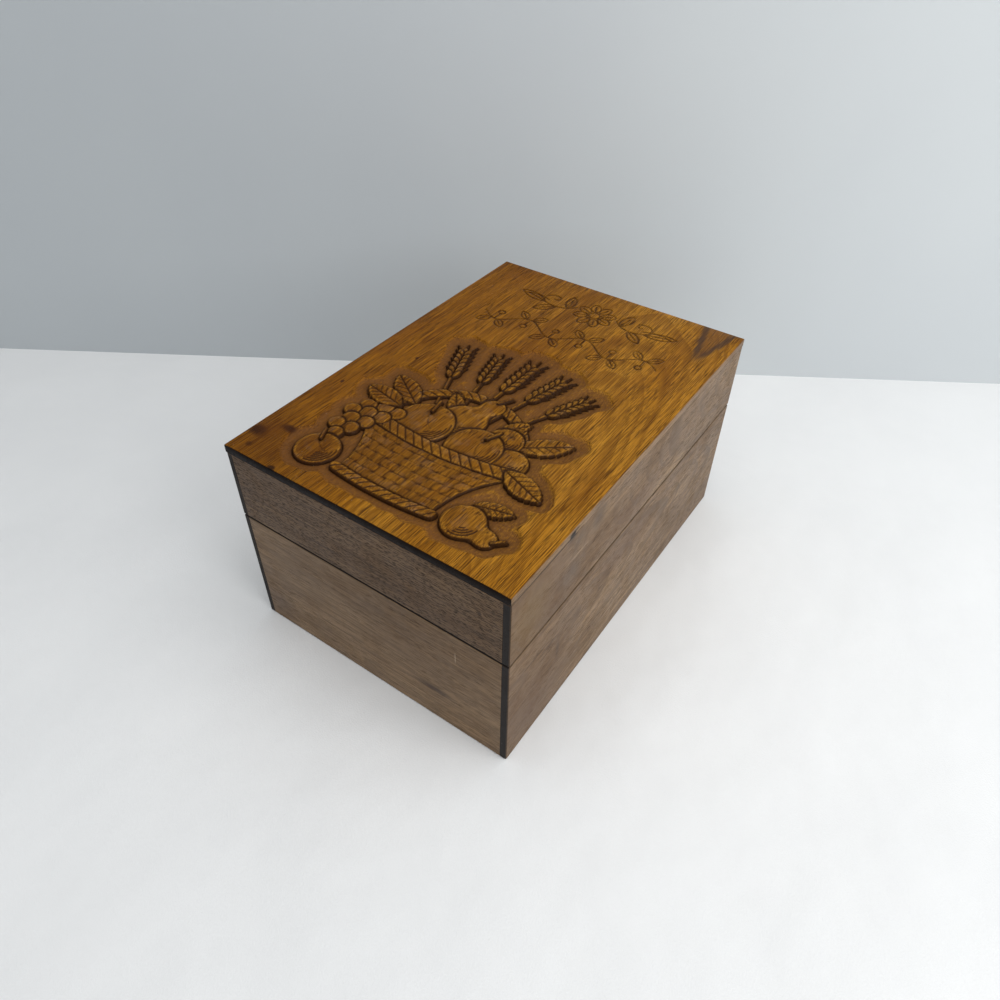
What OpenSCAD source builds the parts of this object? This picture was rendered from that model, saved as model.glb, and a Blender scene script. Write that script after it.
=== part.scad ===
// Wooden card box with a deep hinged lid.
// Origin: centre of the underside. X runs across the short front, Y from the front
// to the hinges at the back, Z up. Millimetres. The lid is drawn shut.

/* [Box] */
// Outside width, across the front
body_w = 146; // [130:1:180]
// Outside length, from the front to the back
body_l = 210; // [150:1:300]
// Height of the base, from the table to its rim
base_h = 67.5; // [50:0.5:90]
// Height of the lid, from its rim to its top face
lid_h = 40.1; // [30:0.1:60]
// Gap between the two rims when the lid is shut
rim_gap = 0.4; // [0.3:0.1:0.8]
// Width of the small bevel that eases every outer edge
edge_ease = 0.6; // [0.3:0.1:1]

/* [Boards] */
// Thickness of the front, back and side boards
wall_t = 6.35; // [5.6:0.05:9]
// Thickness of the end grain tongue that shows at each corner
tongue_t = 3.3; // [2.4:0.1:4]
// Thickness of the top board where it lies on the lid frame
top_edge_t = 4.2; // [3:0.1:6]
// Depth to which the field of the top board drops into the lid frame
top_drop = 2.15; // [1:0.05:4]
// Thickness of the plywood bottom
bottom_t = 3.2; // [2.5:0.1:5]
// Clearance around a board that drops into a frame
panel_fit = 0.2; // [0.1:0.05:0.5]

/* [Hinges] */
// Distance from the side of the box to the middle of a hinge
hinge_inset = 28; // [20:1:40]
// Length of each hinge along its pin
hinge_len = 25.4; // [22:0.1:30]
// Thickness of the brass leaves
leaf_t = 1; // [0.8:0.05:1.2]
// Distance from the edge of a leaf to the inside of the box
leaf_inset = 0.15; // [0:0.05:0.5]
// Clearance around a leaf in its mortise
leaf_fit = 0.1; // [0.05:0.05:0.2]
// Outer diameter of the knuckles
knuckle_d = 3.3; // [3.2:0.05:4.2]
// Knuckles on one hinge, an odd number
knuckle_count = 5; // [3:2:7]
// Gap between one knuckle and the next
knuckle_gap = 0.2; // [0.1:0.05:0.4]
// Gap between the knuckles and the back of the box
knuckle_stand_off = 0.2; // [0.15:0.05:0.5]
// Diameter of the hinge pin
pin_d = 1.3; // [1.1:0.05:1.6]
// Running clearance around the hinge pin
pin_fit = 0.05; // [0.03:0.01:0.08]

/* [Hinge screws] */
// Distance between the two screws of one leaf
screw_spacing = 14; // [10:0.5:16]
// Length of a screw
screw_len = 9.5; // [6:0.5:12]
// Diameter of the countersunk head
screw_head_d = 4; // [3.4:0.1:4.4]
// Diameter of the shank
screw_shank_d = 1.9; // [1.6:0.1:2.2]
// Height of the pointed tip
screw_tip = 1.8; // [1:0.1:2.5]
// Diameter of the blunt end of the tip
screw_point_d = 0.4; // [0.2:0.1:0.8]
// Width of the slot in the head
slot_w = 0.6; // [0.4:0.1:0.8]
// Depth of the slot in the head
slot_depth = 0.45; // [0.3:0.05:0.6]
// Clearance around a screw
screw_fit = 0.05; // [0.03:0.01:0.08]

/* [Carving] */
// Width of the carved still life
picture_w = 112; // [90:1:122]
// Distance from the front of the box to the foot of the still life
picture_margin = 13.5; // [10:0.5:20]
// Depth of the sunk ground
ground_depth = 1.9; // [1.6:0.1:2.4]
// Width of the sunk ground around the still life
ground_w = 5.5; // [4:0.5:8]
// Depth of the cuts between the things in it
cut_depth = 1.4; // [1.2:0.1:1.5]
// Width of those cuts
cut_w = 0.6; // [0.4:0.1:1]
// Bulge of a fruit
fruit_rise = 1; // [0.6:0.1:1.2]
// Bulge of a grape
grape_rise = 0.8; // [0.5:0.1:1]
// Pairs of grains in an ear of wheat
grain_pairs = 6; // [4:1:8]

/* [Hidden] */
$fn = 64;
// Overshoot of a cutter past the face that it opens
cut = 1;

// Heights of the joint between base and lid, and of the seam under the top board
lid_z = base_h + rim_gap;
lid_top_z = lid_z + lid_h;
seam_z = lid_top_z - top_edge_t;

hinge_x = body_w / 2 - hinge_inset;
// Hinge axis: just behind the back face, half way up the rim gap
knuckle_r = knuckle_d / 2;
axis_y = body_l / 2 + knuckle_stand_off + knuckle_r;
axis_z = base_h + rim_gap / 2;
// A leaf reaches from here, near the inside of the wall, to the back face
leaf_inner_y = body_l / 2 - wall_t + leaf_inset;
leaf_root_y = axis_y - knuckle_r - knuckle_gap;
knuckle_len = (hinge_len - (knuckle_count - 1) * knuckle_gap) / knuckle_count;
knuckle_pitch = knuckle_len + knuckle_gap;
// The screws stand in the middle of the leaf
screw_y = (leaf_inner_y + leaf_root_y) / 2;
head_h = (screw_head_d - screw_shank_d) / 2;

// The still life is drawn in units of its own, from its foot at y = 0, and scaled to its width.
// From the front to the back, each thing in it is a kind, a depth under the face of the lid
// in millimetres, and its outline: a middle and a radius for a fruit, with the neck's for a
// pear, both ends and the width for a leaf, and the foot and the tip for an ear of wheat.
FRONT = [
    ["fruit", 0.05, -42, 9, 11],
    ["pear", 0.08, 40, 9, 10, 53, 6, 5.2],
    ["leaf", 0.2, 37, 19, 56, 24, 9],
    ["leaf", 0.1, 36, 45, 60, 36, 13],
    ["leaf", 0.1, -31, 55, -56, 60, 13]
];
GRAPES = [for (at = [[-43.5, 22, 4.1], [-48, 28, 4.2], [-40, 28.5, 4.4], [-45, 34.5, 4.5],
                     [-37, 35.5, 4.5], [-49, 40, 4.4], [-41, 42, 4.6], [-33, 42.5, 4.6],
                     [-45, 47, 4.5], [-37, 50, 4.6], [-29, 49, 4.6]])
    ["grape", 0.05, at.x, at.y, at.z]];
BACK = [
    ["rim", 0.05],
    ["foot", 0.15],
    ["basket", 0.4],
    ["fruit", 0.05, -15, 52, 15],
    ["fruit", 0.12, 15, 50, 14],
    ["fruit", 0.25, 34, 50, 9.5],
    ["fruit", 0.3, 24, 62, 9.5],
    ["pear", 0.35, -1, 64, 12, 5, 80, 6.5],
    ["leaf", 0.5, 16, 62, 28, 80, 9],
    ["leaf", 0.5, -4, 62, -17, 80, 9],
    ["leaf", 0.35, 30, 60, 53, 77, 12.5],
    ["leaf", 0.35, -26, 60, -50, 76, 13],
    ["handle", 0.3],
    ["ear", 0.25, -27, 88, -36, 113],
    ["ear", 0.25, -12, 93, -17, 117],
    ["ear", 0.25, 1, 93, 1.5, 121],
    ["ear", 0.25, 15, 93, 21, 118],
    ["ear", 0.25, 29, 89, 39, 110]
];
THINGS = concat(FRONT, GRAPES, BACK);
drawing_w = 120;
drawing_scale = picture_w / drawing_w;
// From the middle of the lid to the middle of the basket
picture_x = -1.5;
// Rim and foot of the basket are arcs about one point far above it
arcs_y = 200;
rim_y = 38.5;
rim_half = 3.7;
rim_x = 44;
foot_y = 2.6;
foot_half = 2.7;
foot_x = 29;
// Where both lie in the drawing: from below the foot, and how far up
bands_from = -20;
bands_span = 100;
// Each side of the basket is an arc about this point
flare_x = 67.6;
flare_y = 4;
flare_r = 41.6;
// The handle is a hoop about this point
hoop_y = 46;
hoop_r = 37;
hoop_half = 3.1;
ear_w = 12;
grain_slim = 0.47;
grain_lean = 0.42;
stem_w = 1.6;
leaf_fold = 0.5;
// Reaches below the ground from any height in the drawing
deep = 10;

walnut = [0.42, 0.35, 0.28];
walnut_dark = [0.36, 0.30, 0.25];
golden_wood = [0.52, 0.35, 0.16];
birch_ply = [0.70, 0.56, 0.38];
brass = [0.76, 0.60, 0.28];
brass_dark = [0.62, 0.48, 0.22];

// Rectangle w by l about the origin with its corners cut off at 45 degrees
module eased_rectangle(w, l) {
    x = w / 2;
    y = l / 2;
    e = edge_ease;
    polygon([[e - x, -y], [x - e, -y], [x, e - y], [x, y - e],
             [x - e, y], [e - x, y], [-x, y - e], [-x, e - y]]);
}

// The outer form of the base or of the lid: a block from z0 up, every edge eased
module eased_block(z0, h) {
    intersection() {
        translate([0, 0, z0])
            linear_extrude(h) eased_rectangle(body_w, body_l);
        translate([0, body_l / 2, z0 + h / 2])
            rotate([90, 0, 0]) linear_extrude(body_l) eased_rectangle(body_w, h);
        translate([-body_w / 2, 0, z0 + h / 2])
            rotate([90, 0, 90]) linear_extrude(body_w) eased_rectangle(body_l, h);
    }
}

// Right side board from z0 up: full length, with a rabbet at each end that leaves the tongue
module side_board(z0, h) {
    inner_x = body_w / 2 - wall_t;
    difference() {
        translate([inner_x, -body_l / 2, z0])
            cube([wall_t, body_l, h]);
        for (side = [-1, 1])
            translate([inner_x - cut, side > 0 ? body_l / 2 - wall_t : -body_l / 2 - cut, z0 - cut])
                cube([wall_t - tongue_t + cut, wall_t + cut, h + 2 * cut]);
    }
}

// Front board from z0 up: it fits between the tongues of the two side boards
module end_board(z0, h) {
    translate([tongue_t - body_w / 2, -body_l / 2, z0])
        cube([body_w - 2 * tongue_t, wall_t, h]);
}

// Space under the base that the bottom panel fills, cut by the same rabbet as the corners
module bottom_recess() {
    translate([tongue_t - body_w / 2, tongue_t - body_l / 2, -cut])
        cube([body_w - 2 * tongue_t, body_l - 2 * tongue_t, bottom_t + cut]);
}

// A board of the base or of the lid, cut to the outer form
module base_board() {
    difference() {
        intersection() {
            eased_block(0, base_h);
            children();
        }
        bottom_recess();
    }
}

module lid_board() {
    intersection() {
        eased_block(lid_z, lid_h);
        children();
    }
}

// Places its children at the left hinge, side -1, or at the right one, side 1
module at_hinge(side) {
    translate([side * hinge_x, 0, 0]) children();
}

module at_hinges() {
    for (side = [-1, 1])
        at_hinge(side) children();
}

// Turns what belongs to the base over onto the lid, about the hinge axis
module onto_lid() {
    translate([0, 0, 2 * axis_z]) mirror([0, 0, 1]) children();
}

// Mortise for one leaf in the rim of the base, open at the back and inside
module leaf_mortise() {
    translate([-hinge_len / 2 - leaf_fit, body_l / 2 - wall_t - cut, base_h - leaf_t])
        cube([hinge_len + 2 * leaf_fit, wall_t + 2 * cut, leaf_t + cut]);
}

// Places its children at both screws of a leaf, on the rim of the base
module at_screws() {
    for (side = [-1, 1])
        translate([side * screw_spacing / 2, screw_y, base_h]) children();
}

// Side of a countersunk screw, grown by fit: from the point up to the rim of the flush head
function screw_side(fit) = [
    [0, -screw_len - fit],
    [screw_point_d / 2 + fit, -screw_len - fit],
    [screw_shank_d / 2 + fit, screw_tip - screw_len - fit],
    [screw_shank_d / 2 + fit, -head_h],
    [screw_head_d / 2 + fit, 0]
];

// Screw with its slot
module screw() {
    difference() {
        rotate_extrude() polygon(concat(screw_side(0), [[0, 0]]));
        translate([-slot_w / 2, -screw_head_d, -slot_depth])
            cube([slot_w, 2 * screw_head_d, slot_depth + cut]);
    }
}

// Hole for a screw, open at the rim
module screw_hole() {
    rotate_extrude()
        polygon(concat(screw_side(screw_fit), [[screw_head_d / 2 + screw_fit, cut], [0, cut]]));
}

// One knuckle of the hinge, counted from the left, with the tab that joins it to its leaf
module knuckle(index) {
    translate([index * knuckle_pitch - hinge_len / 2, 0, 0]) {
        translate([0, axis_y, axis_z])
            rotate([0, 90, 0]) cylinder(h = knuckle_len, d = knuckle_d);
        translate([0, leaf_root_y - cut, base_h - leaf_t])
            cube([knuckle_len, axis_y - leaf_root_y + cut, leaf_t]);
    }
}

// Brass leaf with every second knuckle, from the first one given
module hinge_leaf(first) {
    difference() {
        union() {
            translate([-hinge_len / 2, leaf_inner_y, base_h - leaf_t])
                cube([hinge_len, leaf_root_y - leaf_inner_y, leaf_t]);
            for (index = [first : 2 : knuckle_count - 1])
                knuckle(index);
        }
        translate([-hinge_len / 2 - cut, axis_y, axis_z])
            rotate([0, 90, 0]) cylinder(h = hinge_len + 2 * cut, d = pin_d + 2 * pin_fit);
        // Each knuckle is rolled round until its end nearly meets the top of the leaf
        translate([-hinge_len / 2 - cut, leaf_root_y, base_h])
            cube([hinge_len + 2 * cut, axis_y - leaf_root_y, axis_z - base_h]);
        at_screws() screw_hole();
    }
}

module hinge_pin() {
    translate([-hinge_len / 2, axis_y, axis_z])
        rotate([0, 90, 0]) cylinder(h = hinge_len, d = pin_d);
}

module base_front_wall() {
    color(walnut) base_board() end_board(0, base_h);
}

module base_back_wall() {
    color(walnut)
        difference() {
            base_board() mirror([0, 1, 0]) end_board(0, base_h);
            at_hinges() leaf_mortise();
            at_hinges() at_screws() screw_hole();
        }
}

module base_left_wall() {
    color(walnut_dark) base_board() mirror([1, 0, 0]) side_board(0, base_h);
}

module base_right_wall() {
    color(walnut_dark) base_board() side_board(0, base_h);
}

module base_bottom_panel() {
    inset = tongue_t + panel_fit;
    color(birch_ply)
        translate([inset - body_w / 2, inset - body_l / 2, 0])
            cube([body_w - 2 * inset, body_l - 2 * inset, bottom_t]);
}

module lid_front_wall() {
    color(walnut) lid_board() end_board(lid_z, seam_z - lid_z);
}

module lid_back_wall() {
    color(walnut)
        difference() {
            lid_board() mirror([0, 1, 0]) end_board(lid_z, seam_z - lid_z);
            onto_lid() at_hinges() leaf_mortise();
            onto_lid() at_hinges() at_screws() screw_hole();
        }
}

module lid_left_wall() {
    color(walnut_dark) lid_board() mirror([1, 0, 0]) side_board(lid_z, seam_z - lid_z);
}

module lid_right_wall() {
    color(walnut_dark) lid_board() side_board(lid_z, seam_z - lid_z);
}

// The middle of a thing in the still life, and how far it reaches from there
function middle(thing) =
    thing[0] == "leaf" || thing[0] == "ear" ? [(thing[2] + thing[4]) / 2, (thing[3] + thing[5]) / 2]
    : thing[0] == "rim" ? [0, rim_y]
    : thing[0] == "foot" ? [0, foot_y]
    : thing[0] == "basket" ? [0, rim_y / 2]
    : thing[0] == "handle" ? [0, hoop_y]
    : [thing[2], thing[3]];

function reach(thing) =
    thing[0] == "leaf" || thing[0] == "ear" ? norm([thing[4] - thing[2], thing[5] - thing[3]]) / 2
    : thing[0] == "pear" ? norm([thing[5] - thing[2], thing[6] - thing[3]]) + thing[7]
    : thing[0] == "handle" ? hoop_r + hoop_half
    : thing[0] == "fruit" || thing[0] == "grape" ? thing[4]
    : rim_x;

// The shape between two equal arcs that run from start to end, grown all round
module lens(start, end, width, grow) {
    length = norm(end - start) + 2 * grow;
    w = width + 2 * grow;
    r = (length * length + w * w) / (4 * w);
    translate([(start.x + end.x) / 2, (start.y + end.y) / 2])
        rotate(atan2(end.y - start.y, end.x - start.x))
            intersection() {
                translate([0, w / 2 - r]) circle(r, $fn = 256);
                translate([0, r - w / 2]) circle(r, $fn = 256);
            }
}

// Part of a ring about the point far above: y and half its height, and half its length
module band(y, half, half_x, grow) {
    intersection() {
        difference() {
            translate([0, arcs_y]) circle(arcs_y - y + half + grow, $fn = 720);
            translate([0, arcs_y]) circle(arcs_y - y - half - grow, $fn = 720);
        }
        translate([-half_x - grow, bands_from]) square([2 * (half_x + grow), bands_span]);
    }
}

// Two circles with straight sides between them, a little inside both
module pear_outline(body, r_body, neck, r_neck, grow) {
    length = norm(neck - body);
    translate(body) circle(r_body + grow);
    translate(neck) circle(r_neck + grow);
    translate(body) rotate(atan2(neck.y - body.y, neck.x - body.x))
        polygon([[0, -0.9 * r_body - grow], [length, -0.9 * r_neck - grow],
                 [length, 0.9 * r_neck + grow], [0, 0.9 * r_body + grow]]);
}

// Outline of one thing, grown all round
module outline(thing, grow) {
    if (thing[0] == "fruit" || thing[0] == "grape")
        translate([thing[2], thing[3]]) circle(thing[4] + grow);
    if (thing[0] == "leaf")
        lens([thing[2], thing[3]], [thing[4], thing[5]], thing[6], grow);
    if (thing[0] == "ear")
        lens([thing[2], thing[3]], [thing[4], thing[5]], ear_w, grow);
    if (thing[0] == "pear")
        pear_outline([thing[2], thing[3]], thing[4], [thing[5], thing[6]], thing[7], grow);
    if (thing[0] == "rim")
        band(rim_y, rim_half, rim_x, grow);
    if (thing[0] == "foot")
        band(foot_y, foot_half, foot_x, grow);
    if (thing[0] == "basket")
        difference() {
            translate([-rim_x, foot_y]) square([2 * rim_x, rim_y - foot_y]);
            for (side = [-1, 1])
                translate([side * flare_x, flare_y]) circle(flare_r - grow, $fn = 128);
        }
    if (thing[0] == "handle")
        difference() {
            translate([0, hoop_y]) circle(hoop_r + hoop_half + grow, $fn = 128);
            // The sunk ground fills the hoop
            if (grow < hoop_half)
                translate([0, hoop_y]) circle(hoop_r - hoop_half - grow, $fn = 128);
            translate([-drawing_w / 2, -drawing_w / 2]) square([drawing_w, drawing_w / 2 + rim_y]);
        }
}

// Round top of a fruit
module dome(x, y, r, depth, rise) {
    sphere_r = (r * r + rise * rise) / (2 * rise);
    intersection() {
        translate([x, y, -deep]) cylinder(h = 2 * deep, r = r);
        translate([x, y, -depth - sphere_r]) sphere(sphere_r, $fn = r > 6 ? 240 : 72);
    }
}

// Bar along a line, whose top follows a section of [across, height] points from side to side
module bar(start, end, section) {
    length = norm(end - start);
    last = section[len(section) - 1];
    translate([(start.x + end.x) / 2, (start.y + end.y) / 2])
        rotate(atan2(end.y - start.y, end.x - start.x))
            translate([-length, 0, 0])
                rotate([90, 0, 90]) linear_extrude(2 * length)
                    polygon(concat(section, [[last.x, -deep], [section[0].x, -deep]]));
}

// Leaf, lowest along its middle and its edges
module folded_leaf(start, end, w, depth) {
    low = -depth - leaf_fold;
    intersection() {
        translate([0, 0, -deep]) linear_extrude(deep) lens(start, end, w, 0);
        bar(start, end, [[-w / 2, low], [-w / 4, -depth], [0, low], [w / 4, -depth], [w / 2, low]]);
    }
}

// Grain of wheat, highest along its middle
module grain(start, end, depth) {
    w = grain_slim * norm(end - start);
    intersection() {
        translate([0, 0, -deep]) linear_extrude(deep) lens(start, end, w, 0);
        bar(start, end, [[-w, -depth - 1], [0, -depth], [w, -depth - 1]]);
    }
}

// Ear of wheat: its grains lean out in pairs along the stem, and one stands at the tip
module wheat_ear(start, end, depth) {
    length = norm(end - start);
    ahead = (end - start) / length;
    aside = [-ahead.y, ahead.x];
    grain_len = 1.75 * length / (grain_pairs + 1);
    stem_foot = start - 1.2 * length * ahead;
    half_stem = aside * stem_w / 2;
    for (i = [0 : grain_pairs - 1])
        for (side = [-1, 1]) {
            root = start + ahead * length * (i + 0.2) / (grain_pairs + 0.6) + aside * side * 0.5;
            grain(root, root + grain_len * (ahead + grain_lean * side * aside), depth);
        }
    grain(end - 0.62 * grain_len * ahead, end + 0.38 * grain_len * ahead, depth);
    translate([0, 0, -deep]) linear_extrude(deep - 1)
        polygon([start - half_stem, start + half_stem, stem_foot + half_stem, stem_foot - half_stem]);
}

// One thing in the round, before what lies in front of it is cut out
module form(thing) {
    depth = thing[1] / drawing_scale;
    rise = (thing[0] == "grape" ? grape_rise : fruit_rise) / drawing_scale;
    if (thing[0] == "fruit" || thing[0] == "grape")
        dome(thing[2], thing[3], thing[4], depth, rise);
    else if (thing[0] == "pear") {
        dome(thing[2], thing[3], thing[4], depth, rise);
        dome(thing[5], thing[6], thing[7], depth, rise);
        translate([0, 0, -deep]) linear_extrude(deep - depth - 0.4 / drawing_scale) outline(thing, 0);
    }
    else if (thing[0] == "leaf")
        folded_leaf([thing[2], thing[3]], [thing[4], thing[5]], thing[6], depth);
    else if (thing[0] == "ear")
        wheat_ear([thing[2], thing[3]], [thing[4], thing[5]], depth);
    else
        translate([0, 0, -deep]) linear_extrude(deep - depth) outline(thing, 0);
}

// Thing number i, cut back from all that lie in front of it
module placed(i) {
    thing = THINGS[i];
    difference() {
        form(thing);
        for (j = [0 : 1 : i - 1])
            if (norm(middle(thing) - middle(THINGS[j])) < reach(thing) + reach(THINGS[j]) + 1)
                translate([0, 0, -cut_depth / drawing_scale])
                    linear_extrude(deep) outline(THINGS[j], cut_w / drawing_scale);
    }
}

// What is carved away: the sunk ground, less the still life that stands in it
module carved_hollow() {
    difference() {
        translate([0, 0, -ground_depth / drawing_scale]) linear_extrude(deep)
            for (thing = THINGS) outline(thing, ground_w / drawing_scale);
        for (i = [0 : len(THINGS) - 1]) placed(i);
    }
}

// Top board: its edge lies on the lid frame, its field drops inside, and its face is carved
module lid_top_panel() {
    inset = wall_t + panel_fit;
    color(golden_wood)
        difference() {
            union() {
                lid_board()
                    translate([-body_w / 2, -body_l / 2, seam_z])
                        cube([body_w, body_l, top_edge_t]);
                translate([inset - body_w / 2, inset - body_l / 2, seam_z - top_drop])
                    cube([body_w - 2 * inset, body_l - 2 * inset, top_drop + cut]);
            }
            translate([picture_x, picture_margin - body_l / 2, lid_top_z])
                scale(drawing_scale) carved_hollow();
        }
}

module hinge_base_leaf(side) {
    color(brass) at_hinge(side) hinge_leaf(0);
}

module hinge_lid_leaf(side) {
    color(brass) at_hinge(side) onto_lid() hinge_leaf(1);
}

module hinge_axle(side) {
    color(brass_dark) at_hinge(side) hinge_pin();
}

module hinge_base_screws(side) {
    color(brass_dark) at_hinge(side) at_screws() screw();
}

module hinge_lid_screws(side) {
    color(brass_dark) at_hinge(side) onto_lid() at_screws() screw();
}

base_front_wall();
base_back_wall();
base_left_wall();
base_right_wall();
base_bottom_panel();
lid_front_wall();
lid_back_wall();
lid_left_wall();
lid_right_wall();
lid_top_panel();
hinge_base_leaf(-1);  // left_hinge_base_leaf
hinge_lid_leaf(-1);  // left_hinge_lid_leaf
hinge_axle(-1);  // left_hinge_pin
hinge_base_screws(-1);  // left_hinge_base_screws
hinge_lid_screws(-1);  // left_hinge_lid_screws
hinge_base_leaf(1);  // right_hinge_base_leaf
hinge_lid_leaf(1);  // right_hinge_lid_leaf
hinge_axle(1);  // right_hinge_pin
hinge_base_screws(1);  // right_hinge_base_screws
hinge_lid_screws(1);  // right_hinge_lid_screws
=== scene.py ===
"""Walnut card box with a deep hinged lid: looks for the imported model, laid out as an add-on."""

import bpy
import numpy as np
from bpy.props import FloatProperty, FloatVectorProperty, PointerProperty
from mathutils import Matrix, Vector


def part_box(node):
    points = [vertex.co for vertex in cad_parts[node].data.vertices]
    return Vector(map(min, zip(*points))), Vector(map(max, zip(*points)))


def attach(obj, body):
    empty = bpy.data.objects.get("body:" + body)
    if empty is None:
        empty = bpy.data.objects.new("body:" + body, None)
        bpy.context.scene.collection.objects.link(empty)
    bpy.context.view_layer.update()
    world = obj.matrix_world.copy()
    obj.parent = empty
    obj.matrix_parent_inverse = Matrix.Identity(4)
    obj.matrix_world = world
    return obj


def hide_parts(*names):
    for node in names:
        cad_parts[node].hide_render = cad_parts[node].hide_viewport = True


bl_info = {
    "name": "Carved Card Box",
    "version": (1, 0, 0),
    "blender": (4, 5, 0),
    "location": "View3D > Sidebar > Card Box",
    "description": "Carves the lid and finishes the boards, bottom and hinges of a walnut card box",
    "category": "Add Mesh",
}

MM = 0.001

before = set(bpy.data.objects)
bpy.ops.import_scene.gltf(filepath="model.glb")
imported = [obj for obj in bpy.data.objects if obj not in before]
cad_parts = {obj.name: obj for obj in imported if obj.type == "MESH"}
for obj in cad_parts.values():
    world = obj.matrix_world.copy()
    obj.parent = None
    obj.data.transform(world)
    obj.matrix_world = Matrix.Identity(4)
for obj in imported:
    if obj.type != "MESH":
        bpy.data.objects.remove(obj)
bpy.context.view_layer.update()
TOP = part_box("lid_top_panel")
BODY_HALF = (TOP[1].x / MM, TOP[1].y / MM)
TOP_Z = TOP[1].z / MM


def colour(red, green, blue):
    """Linear colour, with alpha, of a screen colour given from 0 to 255."""
    c = np.array([red, green, blue]) / 255
    c = np.where(c <= 0.04045, c / 12.92, ((c + 0.055) / 1.055) ** 2.4)
    return (*c, 1.0)


def length_property(name, description, millimetres):
    return FloatProperty(name=name, description=description, default=millimetres * MM, unit="LENGTH",
                         precision=4)


def angle_property(name, description, degrees):
    return FloatProperty(name=name, description=description, default=np.radians(degrees), subtype="ANGLE")


def colour_property(name, description, red, green, blue):
    return FloatVectorProperty(name=name, description=description, default=colour(red, green, blue),
                               size=4, min=0, max=1, subtype="COLOR")


class CarvingSettings(bpy.types.PropertyGroup):
    picture_width: length_property("Picture width", "Width of the carved still life", 112)
    picture_x: length_property("Picture place", "From the middle of the lid to that of the basket", -1.5)
    picture_margin: length_property("Picture margin", "From the front of the box to the basket", 13.5)
    ground_depth: length_property("Ground depth", "Depth of the sunk ground round the still life", 1.9)
    edge_round: length_property("Edge rounding", "Radius of the edges of the top board", 0.6)
    finest_cell: length_property("Finest cell", "Width of the smallest faces, along the cuts", 0.33)
    flatness: length_property("Flatness", "How far a face may lie from the carving", 0.04)


class WoodSettings(bpy.types.PropertyGroup):
    honey_light: colour_property("Honey, light", "Light wood of the top board", 182, 129, 42)
    honey: colour_property("Honey", "Middle tone of the top board", 147, 95, 17)
    honey_dark: colour_property("Honey, dark", "Late rings of the top board", 80, 43, 7)
    # This colour lays stain and painted shade: dark in the cuts, in the hollows and round the figures.
    cut_stain_and_shade: colour_property("Cut stain", "Stain that stays in the knife cuts", 36, 19, 10)
    ground: colour_property("Sunk ground", "Stained ground round the still life", 100, 65, 34)
    walnut_light: colour_property("Walnut, light", "Light wood of the frame boards", 149, 122, 92)
    walnut: colour_property("Walnut", "Middle tone of the frame boards", 127, 101, 74)
    walnut_dark: colour_property("Walnut, dark", "Late rings of the frame boards", 76, 57, 40)
    pores: colour_property("Pores", "Open pores, filled with old finish", 34, 23, 15)
    end_grain: colour_property("End grain", "End grain, which drinks the stain", 21, 21, 24)
    birch: colour_property("Birch", "Face of the plywood bottom", 196, 164, 120)


class BrassSettings(bpy.types.PropertyGroup):
    brass: colour_property("Brass", "Clean brass", 196, 158, 88)
    tarnish: colour_property("Tarnish", "Brown tarnish on the brass", 96, 70, 38)
    edge_round: length_property("Edge rounding", "Radius of the edges of leaves and screws", 0.08)


class StageSettings(bpy.types.PropertyGroup):
    cloth: colour_property("Cloth", "Pale table cloth", 226, 227, 227)
    wall: colour_property("Wall", "Pale wall behind the box", 201, 206, 209)
    wall_distance: length_property("Wall distance", "From the middle of the box to the wall", 183)
    key_power: FloatProperty(name="Key lamp", description="Power of the large lamp on the right",
                             default=4.1, unit="POWER")
    top_power: FloatProperty(name="Top lamp", description="Power of the lamp overhead",
                             default=6.4, unit="POWER")
    sky: FloatProperty(name="Room light", description="Strength of the light from all round", default=0.5)
    lens: FloatProperty(name="Lens", description="Focal length for a sensor 36 mm wide", default=28.334,
                        unit="CAMERA")
    azimuth: angle_property("Azimuth", "Angle of the camera round the box, from the front", 34.114)
    elevation: angle_property("Elevation", "Angle of the camera above the table", 42.659)
    roll: angle_property("Roll", "Tilt of the camera about its line of sight", 1.008)
    distance: length_property("Distance", "From the camera to the point it looks at", 388.97)
    target: FloatVectorProperty(name="Target", description="Point that the camera looks at",
                                default=(0.007323, -0.016125, 0.05256), subtype="TRANSLATION", unit="LENGTH")


class CardBoxSettings(bpy.types.PropertyGroup):
    carving: PointerProperty(type=CarvingSettings)
    wood: PointerProperty(type=WoodSettings)
    brass: PointerProperty(type=BrassSettings)
    stage: PointerProperty(type=StageSettings)


# Distances in the drawing of the carving. Each takes arrays of places and returns an array.
# Drawing units become millimetres on the lid; a height of zero is the face of the board.


def circle(x, y, cx, cy, r):
    """Distance to a circle, negative inside."""
    return np.hypot(x - cx, y - cy) - r


def turned(x, y, start, end):
    """Places along and across the line from start to end, from its middle, and its length."""
    dx, dy = end[0] - start[0], end[1] - start[1]
    cx, cy, length = span(start, end)
    u, v = x - cx, y - cy
    return (u * dx + v * dy) / length, (v * dx - u * dy) / length, length


def span(start, end):
    """Middle and length of the line from start to end."""
    return (start[0] + end[0]) / 2, (start[1] + end[1]) / 2, np.hypot(end[0] - start[0], end[1] - start[1])


def rod(x, y, start, end, r0, r1):
    """Distance to a rod with round ends whose radius runs evenly from r0 to r1."""
    along, across, length = turned(x, y, start, end)
    t = np.clip(along / length + 0.5, 0, 1)
    return np.hypot(along + length * (0.5 - t), across) - (r0 + (r1 - r0) * t)


def lens(x, y, start, end, width):
    """Distance to the shape between two equal arcs through start and end."""
    along, across, length = turned(x, y, start, end)
    a, b = length / 2, width / 2
    r = (a * a + b * b) / (2 * b)
    off = r - b
    u, v = np.abs(along), np.abs(across)
    return np.where((u - a) * off > v * a, np.hypot(u - a, v), np.hypot(u, v + off) - r)


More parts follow.
